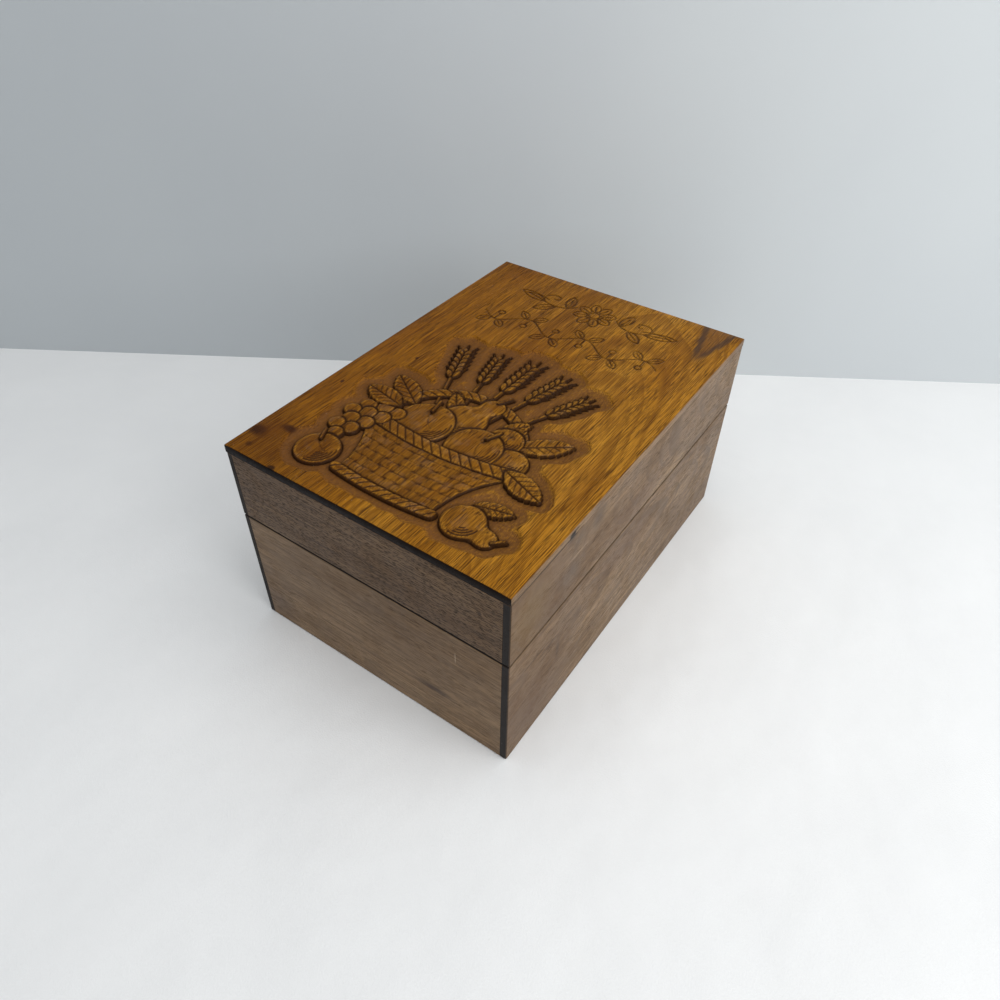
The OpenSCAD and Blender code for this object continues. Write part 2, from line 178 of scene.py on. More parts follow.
def arc(x, y, centre, r, start, end):
    """Distance to a bare arc, from angle start round to angle end in degrees."""
    middle, half = np.radians((start + end) / 2), np.radians((end - start) / 2)
    u, v = x - centre[0], y - centre[1]
    a = np.abs((np.arctan2(v, u) - middle + np.pi) % (2 * np.pi) - np.pi)
    over = np.clip(a - half, 0, np.pi)
    rho = np.hypot(u, v)
    past_end = np.sqrt(np.maximum(rho**2 + r * r - 2 * rho * r * np.cos(over), 0))
    return np.where(over > 0, past_end, np.abs(rho - r))


def blend_min(a, b, k):
    """The smaller of two distances, with the inner corner between them filled to about k."""
    t = np.clip(0.5 + (b - a) / (2 * k), 0, 1)
    return b + (a - b) * t - k * t * (1 - t)


def notch(distance, half_width):
    """One on a line, falling evenly to zero at half_width, as the sides of a V cut do."""
    return np.clip(1 - np.abs(distance) / half_width, 0, 1)


def incised(distance, half_width=0.42):
    """Stain and painted shade in a knife cut: dark at the bottom, with firm edges."""
    return 0.95 * np.exp(-(distance / half_width)**4)


def every(value, step):
    """Distance to the nearest whole multiple of step."""
    return np.abs((value / step + 0.5) % 1 - 0.5) * step


def rolled(d, top, drop=0.45, width=1.3):
    """Height top inside, rounded over to the edge by a quarter of an ellipse."""
    t = np.clip(1 + d / width, 0, 1)
    return top - drop * (1 - np.sqrt(1 - t * t))


def pillow(d, top, rise, reach):
    """Height that bulges by rise over the first reach from the edge, as a fruit does."""
    t = np.clip(-d / reach, 0, 1)
    return top - rise * (1 - np.sqrt(t * (2 - t)))


def with_strokes(x, y, height, stain_and_shade, arcs):
    """Height, and stain with painted shade, with curved strokes cut in: each is a centre, a radius and two
    angles.
    """
    for curve in arcs:
        stroke = arc(x, y, *curve)
        height = height - 0.3 * notch(stroke, 0.5)
        stain_and_shade = np.maximum(stain_and_shade, incised(stroke))
    return height, stain_and_shade


# A thing in the carving is a tuple: middle x, middle y, reach, its distance function and its
# surface function, which returns the height and the stain, with painted shade, inside it.


def fruit(cx, cy, r, top, rise=1.1, dent=None):
    """Round fruit: a dome, with a dent for the stalk at an angle, and a soft crease from it."""
    def surface(x, y, d):
        height = pillow(d, top, rise, r)
        stain_and_shade = 0 * d
        if dent is not None:
            a = np.radians(dent)
            px, py = cx + 0.52 * r * np.cos(a), cy + 0.52 * r * np.sin(a)
            pit = np.exp(-((x - px)**2 + (y - py)**2) / (0.19 * r)**2)
            crease = arc(x, y, (px + r * np.sin(a), py - r * np.cos(a)), r, dent + 92, dent + 142)
            height = height - 0.7 * pit - 0.22 * notch(crease, 0.8)
            # Stain and painted shade in the stalk dent and along the crease.
            stain_and_shade = 0.8 * pit + 0.5 * notch(crease, 0.5)
        return with_strokes(x, y, height, stain_and_shade, [
            ((cx, cy), r - 1.6 - 1.25 * k, -84 + 8 * k, 22 - 14 * k) for k in range(5 if r > 6 else 0)])
    return cx, cy, r, lambda x, y: circle(x, y, cx, cy, r), surface


def pear(body, neck, r_body, r_neck, top):
    """Pear: two circles drawn together, raised like a pillow."""
    cx, cy = (body[0] + neck[0]) / 2, (body[1] + neck[1]) / 2
    reach = np.hypot(neck[0] - cx, neck[1] - cy) + r_body

    def outline(x, y):
        return blend_min(circle(x, y, *body, r_body), circle(x, y, *neck, r_neck), 0.9 * r_neck)

    def surface(x, y, d):
        return with_strokes(x, y, pillow(d, top, 1.1, 0.9 * r_body), 0 * d, [
            (body, r_body - 1.6 - 1.3 * k, -100 + 10 * k, -10 - 12 * k) for k in range(4)])
    return cx, cy, reach, outline, surface


def stalk(start, end, top, r0=0.75, r1=0.9):
    """Thin stalk: a rod, rounded over at its edge."""
    return (*start, span(start, end)[2] + 1, lambda x, y: rod(x, y, start, end, r0, r1),
            lambda x, y, d: (rolled(d, top, 0.3, 0.6), 0 * d))


def leaf(start, end, width, top):
    """Leaf from its stalk to its tip, with a toothed edge, a mid vein and side veins."""
    cx, cy, length = span(start, end)
    step = length / 7

    def veins(x, y):
        along, across, _ = turned(x, y, start, end)
        return np.abs(across), along - 0.85 * np.abs(across)

    def outline(x, y):
        d = lens(x, y, start, end, width)
        tooth = 0.7 * ((veins(x, y)[1] / step) % 1 - 0.4)
        return d + tooth * np.clip(1.6 - np.abs(d), 0, 1)

    def surface(x, y, d):
        across, slant = veins(x, y)
        mid = notch(across, 0.75)
        reach = np.clip((-d - 0.5) / 1.0, 0, 1)
        line = every(slant, step) * 0.76
        side = notch(line, 0.5) * reach
        bulge = 0.28 * np.sin(np.pi * np.clip(across / (0.5 * width), 0, 1))
        height = rolled(d, top - 0.3 + bulge, 0.35, 1.2) - 0.45 * mid - 0.26 * side
        return height, np.maximum(incised(across, 0.5), 0.85 * incised(line) * reach)
    return cx, cy, length / 2 + 1, outline, surface


def ear(base, tip, pairs=6, top=-0.25):
    """Ear of wheat: awns, then grains in pairs from the tip down, each a slim lens."""
    dx, dy = tip[0] - base[0], tip[1] - base[1]
    length = np.hypot(dx, dy)
    ux, uy = dx / length, dy / length
    grain_length = length / (pairs + 1) * 1.75
    foot, neck = ((base[0] + s * dx, base[1] + s * dy) for s in (-1.5, 0.3))
    pieces = [stalk(foot, neck, -0.6)]

    def ends(s, side):
        root = base[0] + ux * s - uy * side * 0.5, base[1] + uy * s + ux * side * 0.5
        tilt = 0.42 * side
        return root, (root[0] + grain_length * (ux - tilt * uy),
                      root[1] + grain_length * (uy + tilt * ux))

    def grain(root, end):
        def surface(x, y, d):
            line = turned(x, y, root, end)[1]
            return pillow(d, top, 0.65, 1.6) - 0.15 * notch(line, 0.35), 0.5 * incised(line, 0.3)
        return (*span(root, end)[:2], grain_length * 0.6,
                lambda x, y: lens(x, y, root, end, 0.47 * grain_length), surface)

    def awn(end, tilt):
        reach = 0.62 * grain_length
        far = end[0] + reach * (ux - tilt * uy), end[1] + reach * (uy + tilt * ux)
        return stalk(end, far, -0.75, 0.45, 0.2)

    rows = [length * (i + 0.2) / (pairs + 0.6) for i in range(pairs)]
    tip_root = tip[0] - 0.62 * grain_length * ux, tip[1] - 0.62 * grain_length * uy
    tip_end = tip[0] + 0.38 * grain_length * ux, tip[1] + 0.38 * grain_length * uy
    pieces += [awn(ends(s, side)[1], 0.5 * side) for s in rows for side in (-1, 1)]
    pieces += [awn(tip_end, 0), grain(tip_root, tip_end)]
    pieces += [grain(*ends(s, side)) for s in reversed(rows) for side in (-1, 1)]
    return pieces


# The drawing of the still life is so many units wide.
DRAWING_WIDTH = 120
# The bands of the basket are arcs about one centre far above it, and its sides are arcs too.
ARCS_Y = 200.0
RIM_Y, RIM_HALF = 38.5, 3.7
FOOT_Y, FOOT_HALF = 2.6, 2.7
FLARE_X, FLARE_RADIUS, FLARE_START, FLARE_RISE = 67.6, 41.6, 4, 34
CANE_PITCH, STAKE_HALF, STAKES_PER_RADIAN = 5.2, 0.42, 3.9


def level(x, y):
    """Height up the basket, measured along arcs that sag in the middle."""
    return ARCS_Y - np.hypot(x, y - ARCS_Y)


def flare(t):
    """Half width of the basket at a level: a concave arc, upright at the foot."""
    return FLARE_X - np.sqrt(FLARE_RADIUS**2 - np.clip(t - FLARE_START, 0, FLARE_RISE)**2)


def weave(x, y, d):
    """Round canes that pass over and under the stakes, closer together towards the sides."""
    t = level(x, y)
    turn = np.arcsin(np.clip(x / (flare(t) + 1.0), -1, 1)) * STAKES_PER_RADIAN
    row = np.floor(t / CANE_PITCH)
    across = np.clip(2 * (t / CANE_PITCH - row) - 1, -1, 1)
    over = 0.5 + 0.5 * np.cos(np.pi * (turn + row))
    cane = 0.62 * np.sqrt(1 - across * across) * over**0.6
    stake = STAKE_HALF * np.sqrt(np.clip(1 - (every(turn + row - 1, 2) / STAKE_HALF)**2, 0, 1))
    high = np.maximum(cane, stake)
    edge = 0.55 * np.clip(np.abs(x) / flare(t), 0, 1)**3
    # Stain and painted shade: darker where the canes and stakes lie low.
    return rolled(d, -0.85 + high - edge, 0.3, 1.0), 0.95 * np.clip(1.35 - high / 0.3, 0, 1)


def rope(along, across, half, top, step=5.2):
    """Twisted band: round in section, cut by slanting lines."""
    v = np.clip(across / half, -1, 1)
    line = every(along + 0.9 * across, step) * 0.74
    return top - 0.5 * v * v - 0.42 * notch(line, 0.62), incised(line, 0.45)


def basket():
    """Woven body, and twisted bands at its foot and rim."""
    def body(x, y):
        t = level(x, y)
        return np.maximum(np.maximum(np.abs(x) - flare(t), t - RIM_Y), FOOT_Y - t)

    def band(x, y, mid, half, half_x):
        return np.hypot(level(x, y) - mid, np.maximum(np.abs(x) - half_x, 0)) - half

    return [(0, 20, 46, body, weave),
            (0, 3, 32, lambda x, y: band(x, y, FOOT_Y, FOOT_HALF, 26.5),
             lambda x, y, d: rope(-x, level(x, y) - FOOT_Y, FOOT_HALF, -0.15, 4.4)),
            (0, 40, 48, lambda x, y: band(x, y, RIM_Y, RIM_HALF, 41.5),
             lambda x, y, d: rope(x, level(x, y) - RIM_Y, RIM_HALF, -0.05))]


def handle():
    """Twisted hoop that stands on the rim of the basket."""
    cy, r, half = 46.0, 37.0, 3.1

    def polar(x, y):
        up = np.maximum(y - cy, 0)
        along = np.where(y > cy, np.arctan2(x, np.maximum(up, 1e-6)) * r,
                         np.sign(x) * (np.pi / 2 * r + cy - y))
        return along, np.hypot(x, up) - r

    return (0, 62, 44, lambda x, y: np.maximum(np.abs(polar(x, y)[1]) - half, 40 - y),
            lambda x, y, d: rope(*polar(x, y), half, -0.3, 4.8))


def still_life():
    """Basket of fruit with wheat, from the back to the front."""
    pieces = []
    for foot, tip in (((-27, 88), (-36, 113)), ((-12, 93), (-17, 117)), ((1, 93), (1.5, 121)),
                      ((15, 93), (21, 118)), ((29, 89), (39, 110))):
        pieces += ear(foot, tip)
    pieces += [handle(),
               leaf((-26, 60), (-50, 76), 13, -0.35), leaf((30, 60), (53, 77), 12.5, -0.35),
               leaf((-4, 62), (-17, 80), 9, -0.5), leaf((16, 62), (28, 80), 9, -0.55),
               pear((-1, 64), (5, 80), 12, 6.5, -0.35), stalk((5.5, 84), (9, 91), -0.3),
               fruit(24, 62, 9.5, -0.3, dent=80), fruit(34, 50, 9.5, -0.25),
               fruit(15, 50, 14, -0.12, dent=75), stalk((17, 58), (20, 65), -0.05),
               fruit(-15, 52, 15, -0.05, dent=100), stalk((-16.5, 60.5), (-18, 69), -0.02)]
    pieces += basket()
    pieces += [fruit(cx, cy, r, -0.05, 0.8) for cx, cy, r in (
        (-29, 49, 4.6), (-37, 50, 4.6), (-45, 47, 4.5), (-33, 42.5, 4.6), (-41, 42, 4.6), (-49, 40, 4.4),
        (-37, 35.5, 4.5), (-45, 34.5, 4.5), (-40, 28.5, 4.4), (-48, 28, 4.2), (-43.5, 22, 4.1))]
    pieces += [leaf((-31, 55), (-56, 60), 13, -0.1), leaf((36, 45), (60, 36), 13, -0.1),
               leaf((37, 19), (56, 24), 9, -0.2),
               pear((40, 9), (53, 6), 10, 5.2, -0.08), stalk((57, 5), (61, 9), -0.2),
               fruit(-42, 9, 11, -0.05, dent=120), stalk((-45, 14.5), (-48, 21), -0.02)]
    return pieces


def ornament():
    """Distances to the lines cut above the still life: a rosette between curls, over a vine."""
    lines = []

    def leaf_line(start, end, width):
        cx, cy, length = span(start, end)
        inner = (start[0] + 0.72 * (end[0] - start[0]), start[1] + 0.72 * (end[1] - start[1]))
        lines.append((cx, cy, length / 2, lambda x, y: np.minimum(np.abs(lens(x, y, start, end, width)),
                                                                  rod(x, y, start, inner, 0, 0))))

    def ring_line(cx, cy, r):
        lines.append((cx, cy, r, lambda x, y: np.abs(circle(x, y, cx, cy, r))))

    def curl(side, centre, r, start, end):
        cx, cy = side * centre[0], centre[1]
        a, b = (start, end) if side > 0 else (180 - end, 180 - start)
        lines.append((cx, cy, r, lambda x, y: arc(x, y, (cx, cy), r, a, b)))

    high = 80.0
    for k in range(8):
        c, s = np.cos(np.radians(45 * k + 22.5)), np.sin(np.radians(45 * k + 22.5))
        leaf_line((3.5 * c, high + 3.5 * s), (11.4 * c, high + 11.4 * s), 5.4)
    ring_line(0, high, 2.8)
    for side in (-1, 1):
        curl(side, (22.8, 89.6), 13.2, 215, 300)
        curl(side, (27.1, 82), 4.8, -60, 120)
        curl(side, (25.4, 84.7), 1.9, 120, 300)
        curl(side, (36, 66.8), 15.6, 60, 120)
        leaf_line((side * 15.6, 78.3), (side * 18, 90.8), 5.3)
        leaf_line((side * 29.5, 78.2), (side * 46, 82.4), 5.5)
        leaf_line((side * 21.6, 76.4), (side * 31.2, 68.6), 5.0)
    low, wave, rise = 52.0, 33.0, 4.6
    k = 2 * np.pi / wave

    def vine(x, y):
        slope = rise * k * np.cos(k * x)
        d = np.abs(y - low - rise * np.sin(k * x)) / np.sqrt(1 + slope * slope)
        return np.hypot(d, np.maximum(np.abs(x) - 49.5, 0))
    lines.append((0, low, 50, vine))
    for n in range(-3, 3):
        x0, up = (n + 0.5) * wave / 2, 1 if n % 2 == 0 else -1
        y0 = low + rise * up
        leaf_line((x0 + 1.5, y0), (x0 + 7.5, y0 + 5.6 * up), 4.2)
        leaf_line((x0 - 2, y0), (x0 - 8, y0 + 5.4 * up), 4.2)
        ring_line(x0, low - 2.6 * up, 1.7)
        lines.append((x0, low, 5,
                      lambda x, y, a=(x0, y0), b=(x0, low - 0.9 * up): rod(x, y, a, b, 0, 0)))
    return lines


class Carving:
    """The face of the board as flat arrays of places, with what the knife does to each."""

    def __init__(self, x, y):
        self.x, self.y = x, y
        self.height, self.stain_and_shade = np.zeros_like(x), np.zeros_like(x)
        self.ground, self.figure, self.wear_and_highlight = np.zeros_like(x), np.zeros_like(x), np.zeros_like(x)

    def near(self, piece, margin):
        """Numbers of the places within reach of a piece."""
        r = piece[2] + margin
        return np.flatnonzero((np.abs(self.x - piece[0]) < r) & (np.abs(self.y - piece[1]) < r))

    def sink_ground(self, pieces, depth):
        """A hollow round all the pieces: full depth beside them, rising to the face in a cove."""
        far, reach, fillet = 99.0, 11, 1.6
        away = np.full_like(self.x, far)
        for piece in pieces:
            i = self.near(piece, reach)
            away[i] = blend_min(away[i], piece[3](self.x[i], self.y[i]), fillet)
        x, y = self.x, self.y
        width = 6.4 + 1.1 * np.sin(0.13 * x + 1.0) * np.sin(0.11 * y) + 0.5 * np.sin(0.47 * x + 0.31 * y)
        s = np.clip(away / width, 0, 1)
        marks = 0.07 * np.sin(1.9 * x + 1.2 * np.sin(0.5 * y)) * np.sin(1.3 * y + 0.9 * np.sin(0.6 * x))
        self.height = np.where(s < 1, -depth * (1 - s**2.4)**0.8 + marks * (1 - s), 0)
        self.ground = np.where(s < 1, 1 - s, 0)
        self.floor = -1.2 * depth

    def lay(self, piece):
        """Puts a piece over what is there: its own surface inside, a V cut round its edge, and painted shade
        on the ground beside it.
        """
        i = self.near(piece, 2.6)
        x, y = self.x[i], self.y[i]
        d = piece[3](x, y)
        height, stain_and_shade = piece[4](x, y, d)
        inside, edge = d < 0, np.exp(-(d / 0.5)**2)
        below = np.maximum(self.height[i] - 0.55 * notch(d, 0.75),
                           np.minimum(self.height[i], self.floor))
        self.height[i] = np.where(inside, height, below)
        # Painted shade: a dark band just inside the edge and a darkening of the ground round the piece, kept
        # with the stain.
        shade = np.maximum(np.exp(-(d / 0.75)**4), 0.4 * np.exp(-(d / 1.9)**2))
        self.stain_and_shade[i] = np.where(inside, np.maximum(stain_and_shade, edge), np.maximum(self.stain_and_shade[i], shade))
        # Wear with a painted highlight: a lighter band on the rounded shoulder just inside the edge.
        self.wear_and_highlight[i] = np.where(inside, np.exp(-((d + 1.15) / 0.5)**2), self.wear_and_highlight[i] * (1 - edge))
        self.figure[i] = np.where(inside, 1, self.figure[i])

    def score(self, line):
        """Cuts a thin V along a line into what is there."""
        i = self.near(line, 1.5)
        d = line[3](self.x[i], self.y[i])
        self.height[i] -= 0.45 * notch(d, 0.6)
        pressure = 0.68 + 0.16 * np.sin(0.9 * self.x[i] + 0.7 * self.y[i])
        self.stain_and_shade[i] = np.maximum(self.stain_and_shade[i], pressure * np.exp(-(d / 0.55)**4))


def carve(x, y, settings):
    """Height, stain with painted shade, ground, figure, and wear with painted highlight of the lid's face at
    places in millimetres.
    """
    scale = settings.picture_width / MM / DRAWING_WIDTH
    foot_y = settings.picture_margin / MM - BODY_HALF[1]
    board = Carving((x - settings.picture_x / MM) / scale, (y - foot_y) / scale)
    pieces = still_life()
    board.sink_ground(pieces, settings.ground_depth / MM)
    for piece in pieces:
        board.lay(piece)
    board.x, board.y = x, y
    for line in ornament():
        board.score(line)
    return board.height, board.stain_and_shade, board.ground, board.figure, board.wear_and_highlight


# Surfaces


def split_cells(height, levels, flatness):
    """Which square cells of a lattice are quartered, level by level.

    A cell is quartered where the height inside it leaves the bilinear patch through its corners
    by more than flatness. Its parent and the cells beside it are then split to match, so that
    neighbours differ by one level at most.
    """
    split = []
    for k in range(levels):
        s = 2 ** (levels - k)
        corners = height[:-1:s, :-1:s], height[s::s, :-1:s], height[:-1:s, s::s], height[s::s, s::s]
        worst = np.zeros_like(corners[0])
        for a in range(s + 1):
            for b in range(s + 1):
                u, v = a / s, b / s
                patch = ((1 - u) * (1 - v) * corners[0] + u * (1 - v) * corners[1]
                         + (1 - u) * v * corners[2] + u * v * corners[3])
                real = height[a::s, b::s][:worst.shape[0], :worst.shape[1]]
                worst = np.maximum(worst, np.abs(real - patch))
        split.append(worst > flatness)
    for k in range(levels - 1, 0, -1):
        wide = np.pad(split[k], 1)
        rows, columns = split[k].shape
        grown = sum(wide[a:a + rows, b:b + columns] for a in range(3) for b in range(3)) > 0
        split[k - 1] |= grown[::2, ::2] | grown[1::2, ::2] | grown[::2, 1::2] | grown[1::2, 1::2]
    return split


def cell_faces(split, levels):
    """Faces of the cells that are left whole: corner numbers end to end, and corners per face.

    A cell keeps a fifth, sixth, seventh or eighth corner half way along each side whose
    neighbour is split, so that the sheet has no cracks. Lattice point (i, j) has number i * row + j.
    """
    row = split[0].shape[1] * 2**levels + 1
    there = np.ones_like(split[0])
    loops, totals = [], []
    for k in range(levels + 1):
        s = 2 ** (levels - k)
        divided = (split[k] & there) if k < levels else np.zeros_like(there)
        i, j = np.nonzero(there & ~divided)
        wide = np.pad(divided, 1)
        beside = [wide[i + 1, j], wide[i + 2, j + 1], wide[i + 1, j + 2], wide[i, j + 1]]
        steps = [(0, 0), (0.5, 0), (1, 0), (1, 0.5), (1, 1), (0.5, 1), (0, 1), (0, 0.5)]
        number = np.stack([(i * s + int(a * s)) * row + j * s + int(b * s) for a, b in steps], axis=1)
        keep = np.ones_like(number, bool)
        keep[:, 1::2] = np.stack(beside, axis=1)
        loops.append(number[keep])
        totals.append(keep.sum(axis=1))
        there = np.repeat(np.repeat(divided, 2, axis=0), 2, axis=1)
    return np.concatenate(loops), np.concatenate(totals)


def new_piece(name, points, loops, totals, body):
    """Makes a piece from points in millimetres and faces given as corner numbers end to end."""
    mesh = bpy.data.meshes.new(name)
    mesh.vertices.add(len(points))
    mesh.vertices.foreach_set("co", (np.asarray(points) * MM).astype(np.float32).ravel())
    mesh.loops.add(len(loops))
    mesh.loops.foreach_set("vertex_index", loops.astype(np.int32))
    mesh.polygons.add(len(totals))
    starts = np.concatenate([[0], np.cumsum(totals)[:-1]])
    mesh.polygons.foreach_set("loop_start", starts.astype(np.int32))
    mesh.polygons.foreach_set("use_smooth", np.ones(len(totals), bool))
    mesh.update(calc_edges=True)
    piece = bpy.data.objects.new(name, mesh)
    bpy.context.scene.collection.objects.link(piece)
    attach(piece, body)
    return piece


def carved_sheet(settings):
    """Top board: its face is a sheet split ever finer where the carving bends, and the edges and
    the underside are rectangles of the same outline, scaled and carried down step by step."""
    levels = 4
    r = settings.edge_round / MM
    half = np.array(BODY_HALF) - r
    cells = np.ceil(2 * half / (settings.finest_cell / MM * 2**levels)).astype(int)
    count = cells * 2**levels
    x, y = np.meshgrid(*[np.linspace(-half[k], half[k], count[k] + 1) for k in (0, 1)], indexing="ij")
    height, *coats = carve(x.ravel(), y.ravel(), settings)
    split = split_cells(height.reshape(x.shape), levels, settings.flatness / MM)
    loops, totals = cell_faces(split, levels)
    used, loops = np.unique(loops, return_inverse=True)
    face = np.stack([x.ravel()[used], y.ravel()[used], TOP_Z + height[used]], axis=1)

    # The points of the rim in order, against the clock from the front left corner
    i, j = used // (count[1] + 1), used % (count[1] + 1)
    far_i, far_j = count
    walk = np.select([(j == 0) & (i < far_i), (i == far_i) & (j < far_j), (j == far_j) & (i > 0), i == 0],
                     [i, far_i + j, 2 * far_i + far_j - i, 2 * (far_i + far_j) - j], default=-1)
    rim = np.argsort(walk)[np.count_nonzero(walk < 0):]

    seam_z, under_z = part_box("lid_front_wall")[1].z / MM, TOP[0].z / MM
    ease, play, underside_ease = 0.12, 0.2, 0.3
    inner = np.array([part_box("lid_left_wall")[1].x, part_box("lid_front_wall")[1].y]) / MM * -1 - play
    full = np.array(BODY_HALF)
    turn = np.radians([22.5, 45, 67.5, 90])
    rings = [(full - r * (1 - np.sin(t)), TOP_Z - r * (1 - np.cos(t))) for t in turn]
    rings += [(full, seam_z + ease), (full - ease, seam_z), (inner, seam_z),
              (inner, under_z + underside_ease), (inner - underside_ease, under_z)]
    points = [face]
    ring_numbers = [rim]
    for n, (reach, z) in enumerate(rings):
        flat = face[rim, :2] * reach / half
        points.append(np.column_stack([flat, np.full(len(rim), z)]))
        ring_numbers.append(len(face) + n * len(rim) + np.arange(len(rim)))
    walls = [np.stack([a, b, np.roll(b, -1), np.roll(a, -1)], axis=1).ravel()
             for a, b in zip(ring_numbers[:-1], ring_numbers[1:])]
    bottom = ring_numbers[-1][::-1]
    loops = np.concatenate([loops, *walls, bottom])
    totals = np.concatenate([totals, np.full(len(rings) * len(rim), 4), [len(rim)]])
    points = np.concatenate(points)
    board = new_piece("carved_top", points, loops, totals, "lid")
    for name, values in zip(("stain_and_shade", "ground", "figure", "wear_and_highlight"), coats):
        column = np.zeros(len(points), np.float32)
        column[:len(used)] = values[used]
        board.data.attributes.new(name, "FLOAT", "POINT").data.foreach_set("value", column)
    board.data.set_sharp_from_angle(angle=np.radians(80))
    return board


# Shader nodes


class Bench:
    """Adds nodes to one tree. A value may be a plain value or the output of another node."""

    def __init__(self, tree):
        self.tree = tree

    def node(self, kind, values=None, **settings):
        node = self.tree.nodes.new("ShaderNode" + kind)
        for name, value in settings.items():
            setattr(node, name, value)
        for key, value in (values or {}).items():
            self.join(value, node.inputs[key])
        return node

    def math(self, operation, a, b=0.0, c=0.0):
        return self.node("Math", {0: a, 1: b, 2: c}, operation=operation).outputs[0]

    def times(self, a, b):
        return self.math("MULTIPLY", a, b)

    def times_plus(self, a, b, c):
        return self.math("MULTIPLY_ADD", a, b, c)

    def plus(self, a, b):
        return self.math("ADD", a, b)

    def minus(self, a, b):
        return self.math("SUBTRACT", a, b)

    def over(self, a, b):
        return self.math("DIVIDE", a, b)

    def smaller(self, a, b):
        return self.math("MINIMUM", a, b)

    def larger(self, a, b):
        return self.math("MAXIMUM", a, b)

    def size(self, a):
        return self.math("ABSOLUTE", a)

    def vector(self, operation, a, b=(0, 0, 0)):
        node = self.node("VectorMath", {0: a, 1: b}, operation=operation)
        return node.outputs[1 if operation in ("LENGTH", "DOT_PRODUCT") else 0]

    def scaled(self, vector, factor):
        return self.node("VectorMath", {0: vector, "Scale": factor}, operation="SCALE").outputs[0]

    def ramp(self, value, low, high, start=0.0, end=1.0):
        """Eases from start to end while value goes from low to high."""
        return self.node("MapRange", {0: value, 1: low, 2: high, 3: start, 4: end},
                         interpolation_type="SMOOTHSTEP").outputs[0]

    def noise(self, place, scale, detail=2.0, roughness=0.5, output="Fac"):
        scaled = self.vector("MULTIPLY", place, scale)
        return self.node("TexNoise", {"Vector": scaled, "Scale": 1.0, "Detail": detail,
                                      "Roughness": roughness}).outputs[output]

    def cells(self, place):
        """Distance to the nearest point of a scatter, one point in each unit cube."""
        return self.node("TexVoronoi", {"Vector": place, "Scale": 1.0}, feature="F1").outputs["Distance"]

    def mix(self, factor, a, b):
        return self.node("Mix", {0: factor, 6: a, 7: b}, data_type="RGBA", blend_type="MIX").outputs[2]

    def tint(self, tone, mask, strength, shade):
        """Lays a shade over a tone where the mask is, as strongly as it says."""
        return self.mix(self.times(mask, strength), tone, shade)

    def parts(self, vector):
        return self.node("SeparateXYZ", {0: vector}).outputs

    def join(self, value, socket):
        """Puts a plain value or the output of a node into a socket."""
        if isinstance(value, bpy.types.NodeSocket):
            self.tree.links.new(value, socket)
        else:
            socket.default_value = value

    def group(self, tree, **values):
        """Places a group; an input named Ring_Width in the call is the input Ring Width."""
        node = self.node("Group", node_tree=tree)
        for key, value in values.items():
            self.join(value, node.inputs[key.replace("_", " ")])
        return node.outputs

    def close(self, end, **results):
        """Joins the results to the end of a group, and returns the group."""
        for label, value in results.items():
            self.join(value, end[label])
        return self.tree


def node_group(name, inputs, outputs):
    """A new shader node group: its bench, its inputs, and its end, which takes the outputs."""
    tree = bpy.data.node_groups.new(name, "ShaderNodeTree")
    for label, default in inputs.items():
        kind = "NodeSocketVector" if isinstance(default, tuple) else "NodeSocketFloat"
        tree.interface.new_socket(label, in_out="INPUT", socket_type=kind).default_value = default
    for label in outputs:
        tree.interface.new_socket(label, in_out="OUTPUT", socket_type="NodeSocketFloat")
    return Bench(tree), tree.nodes.new("NodeGroupInput").outputs, tree.nodes.new("NodeGroupOutput").inputs


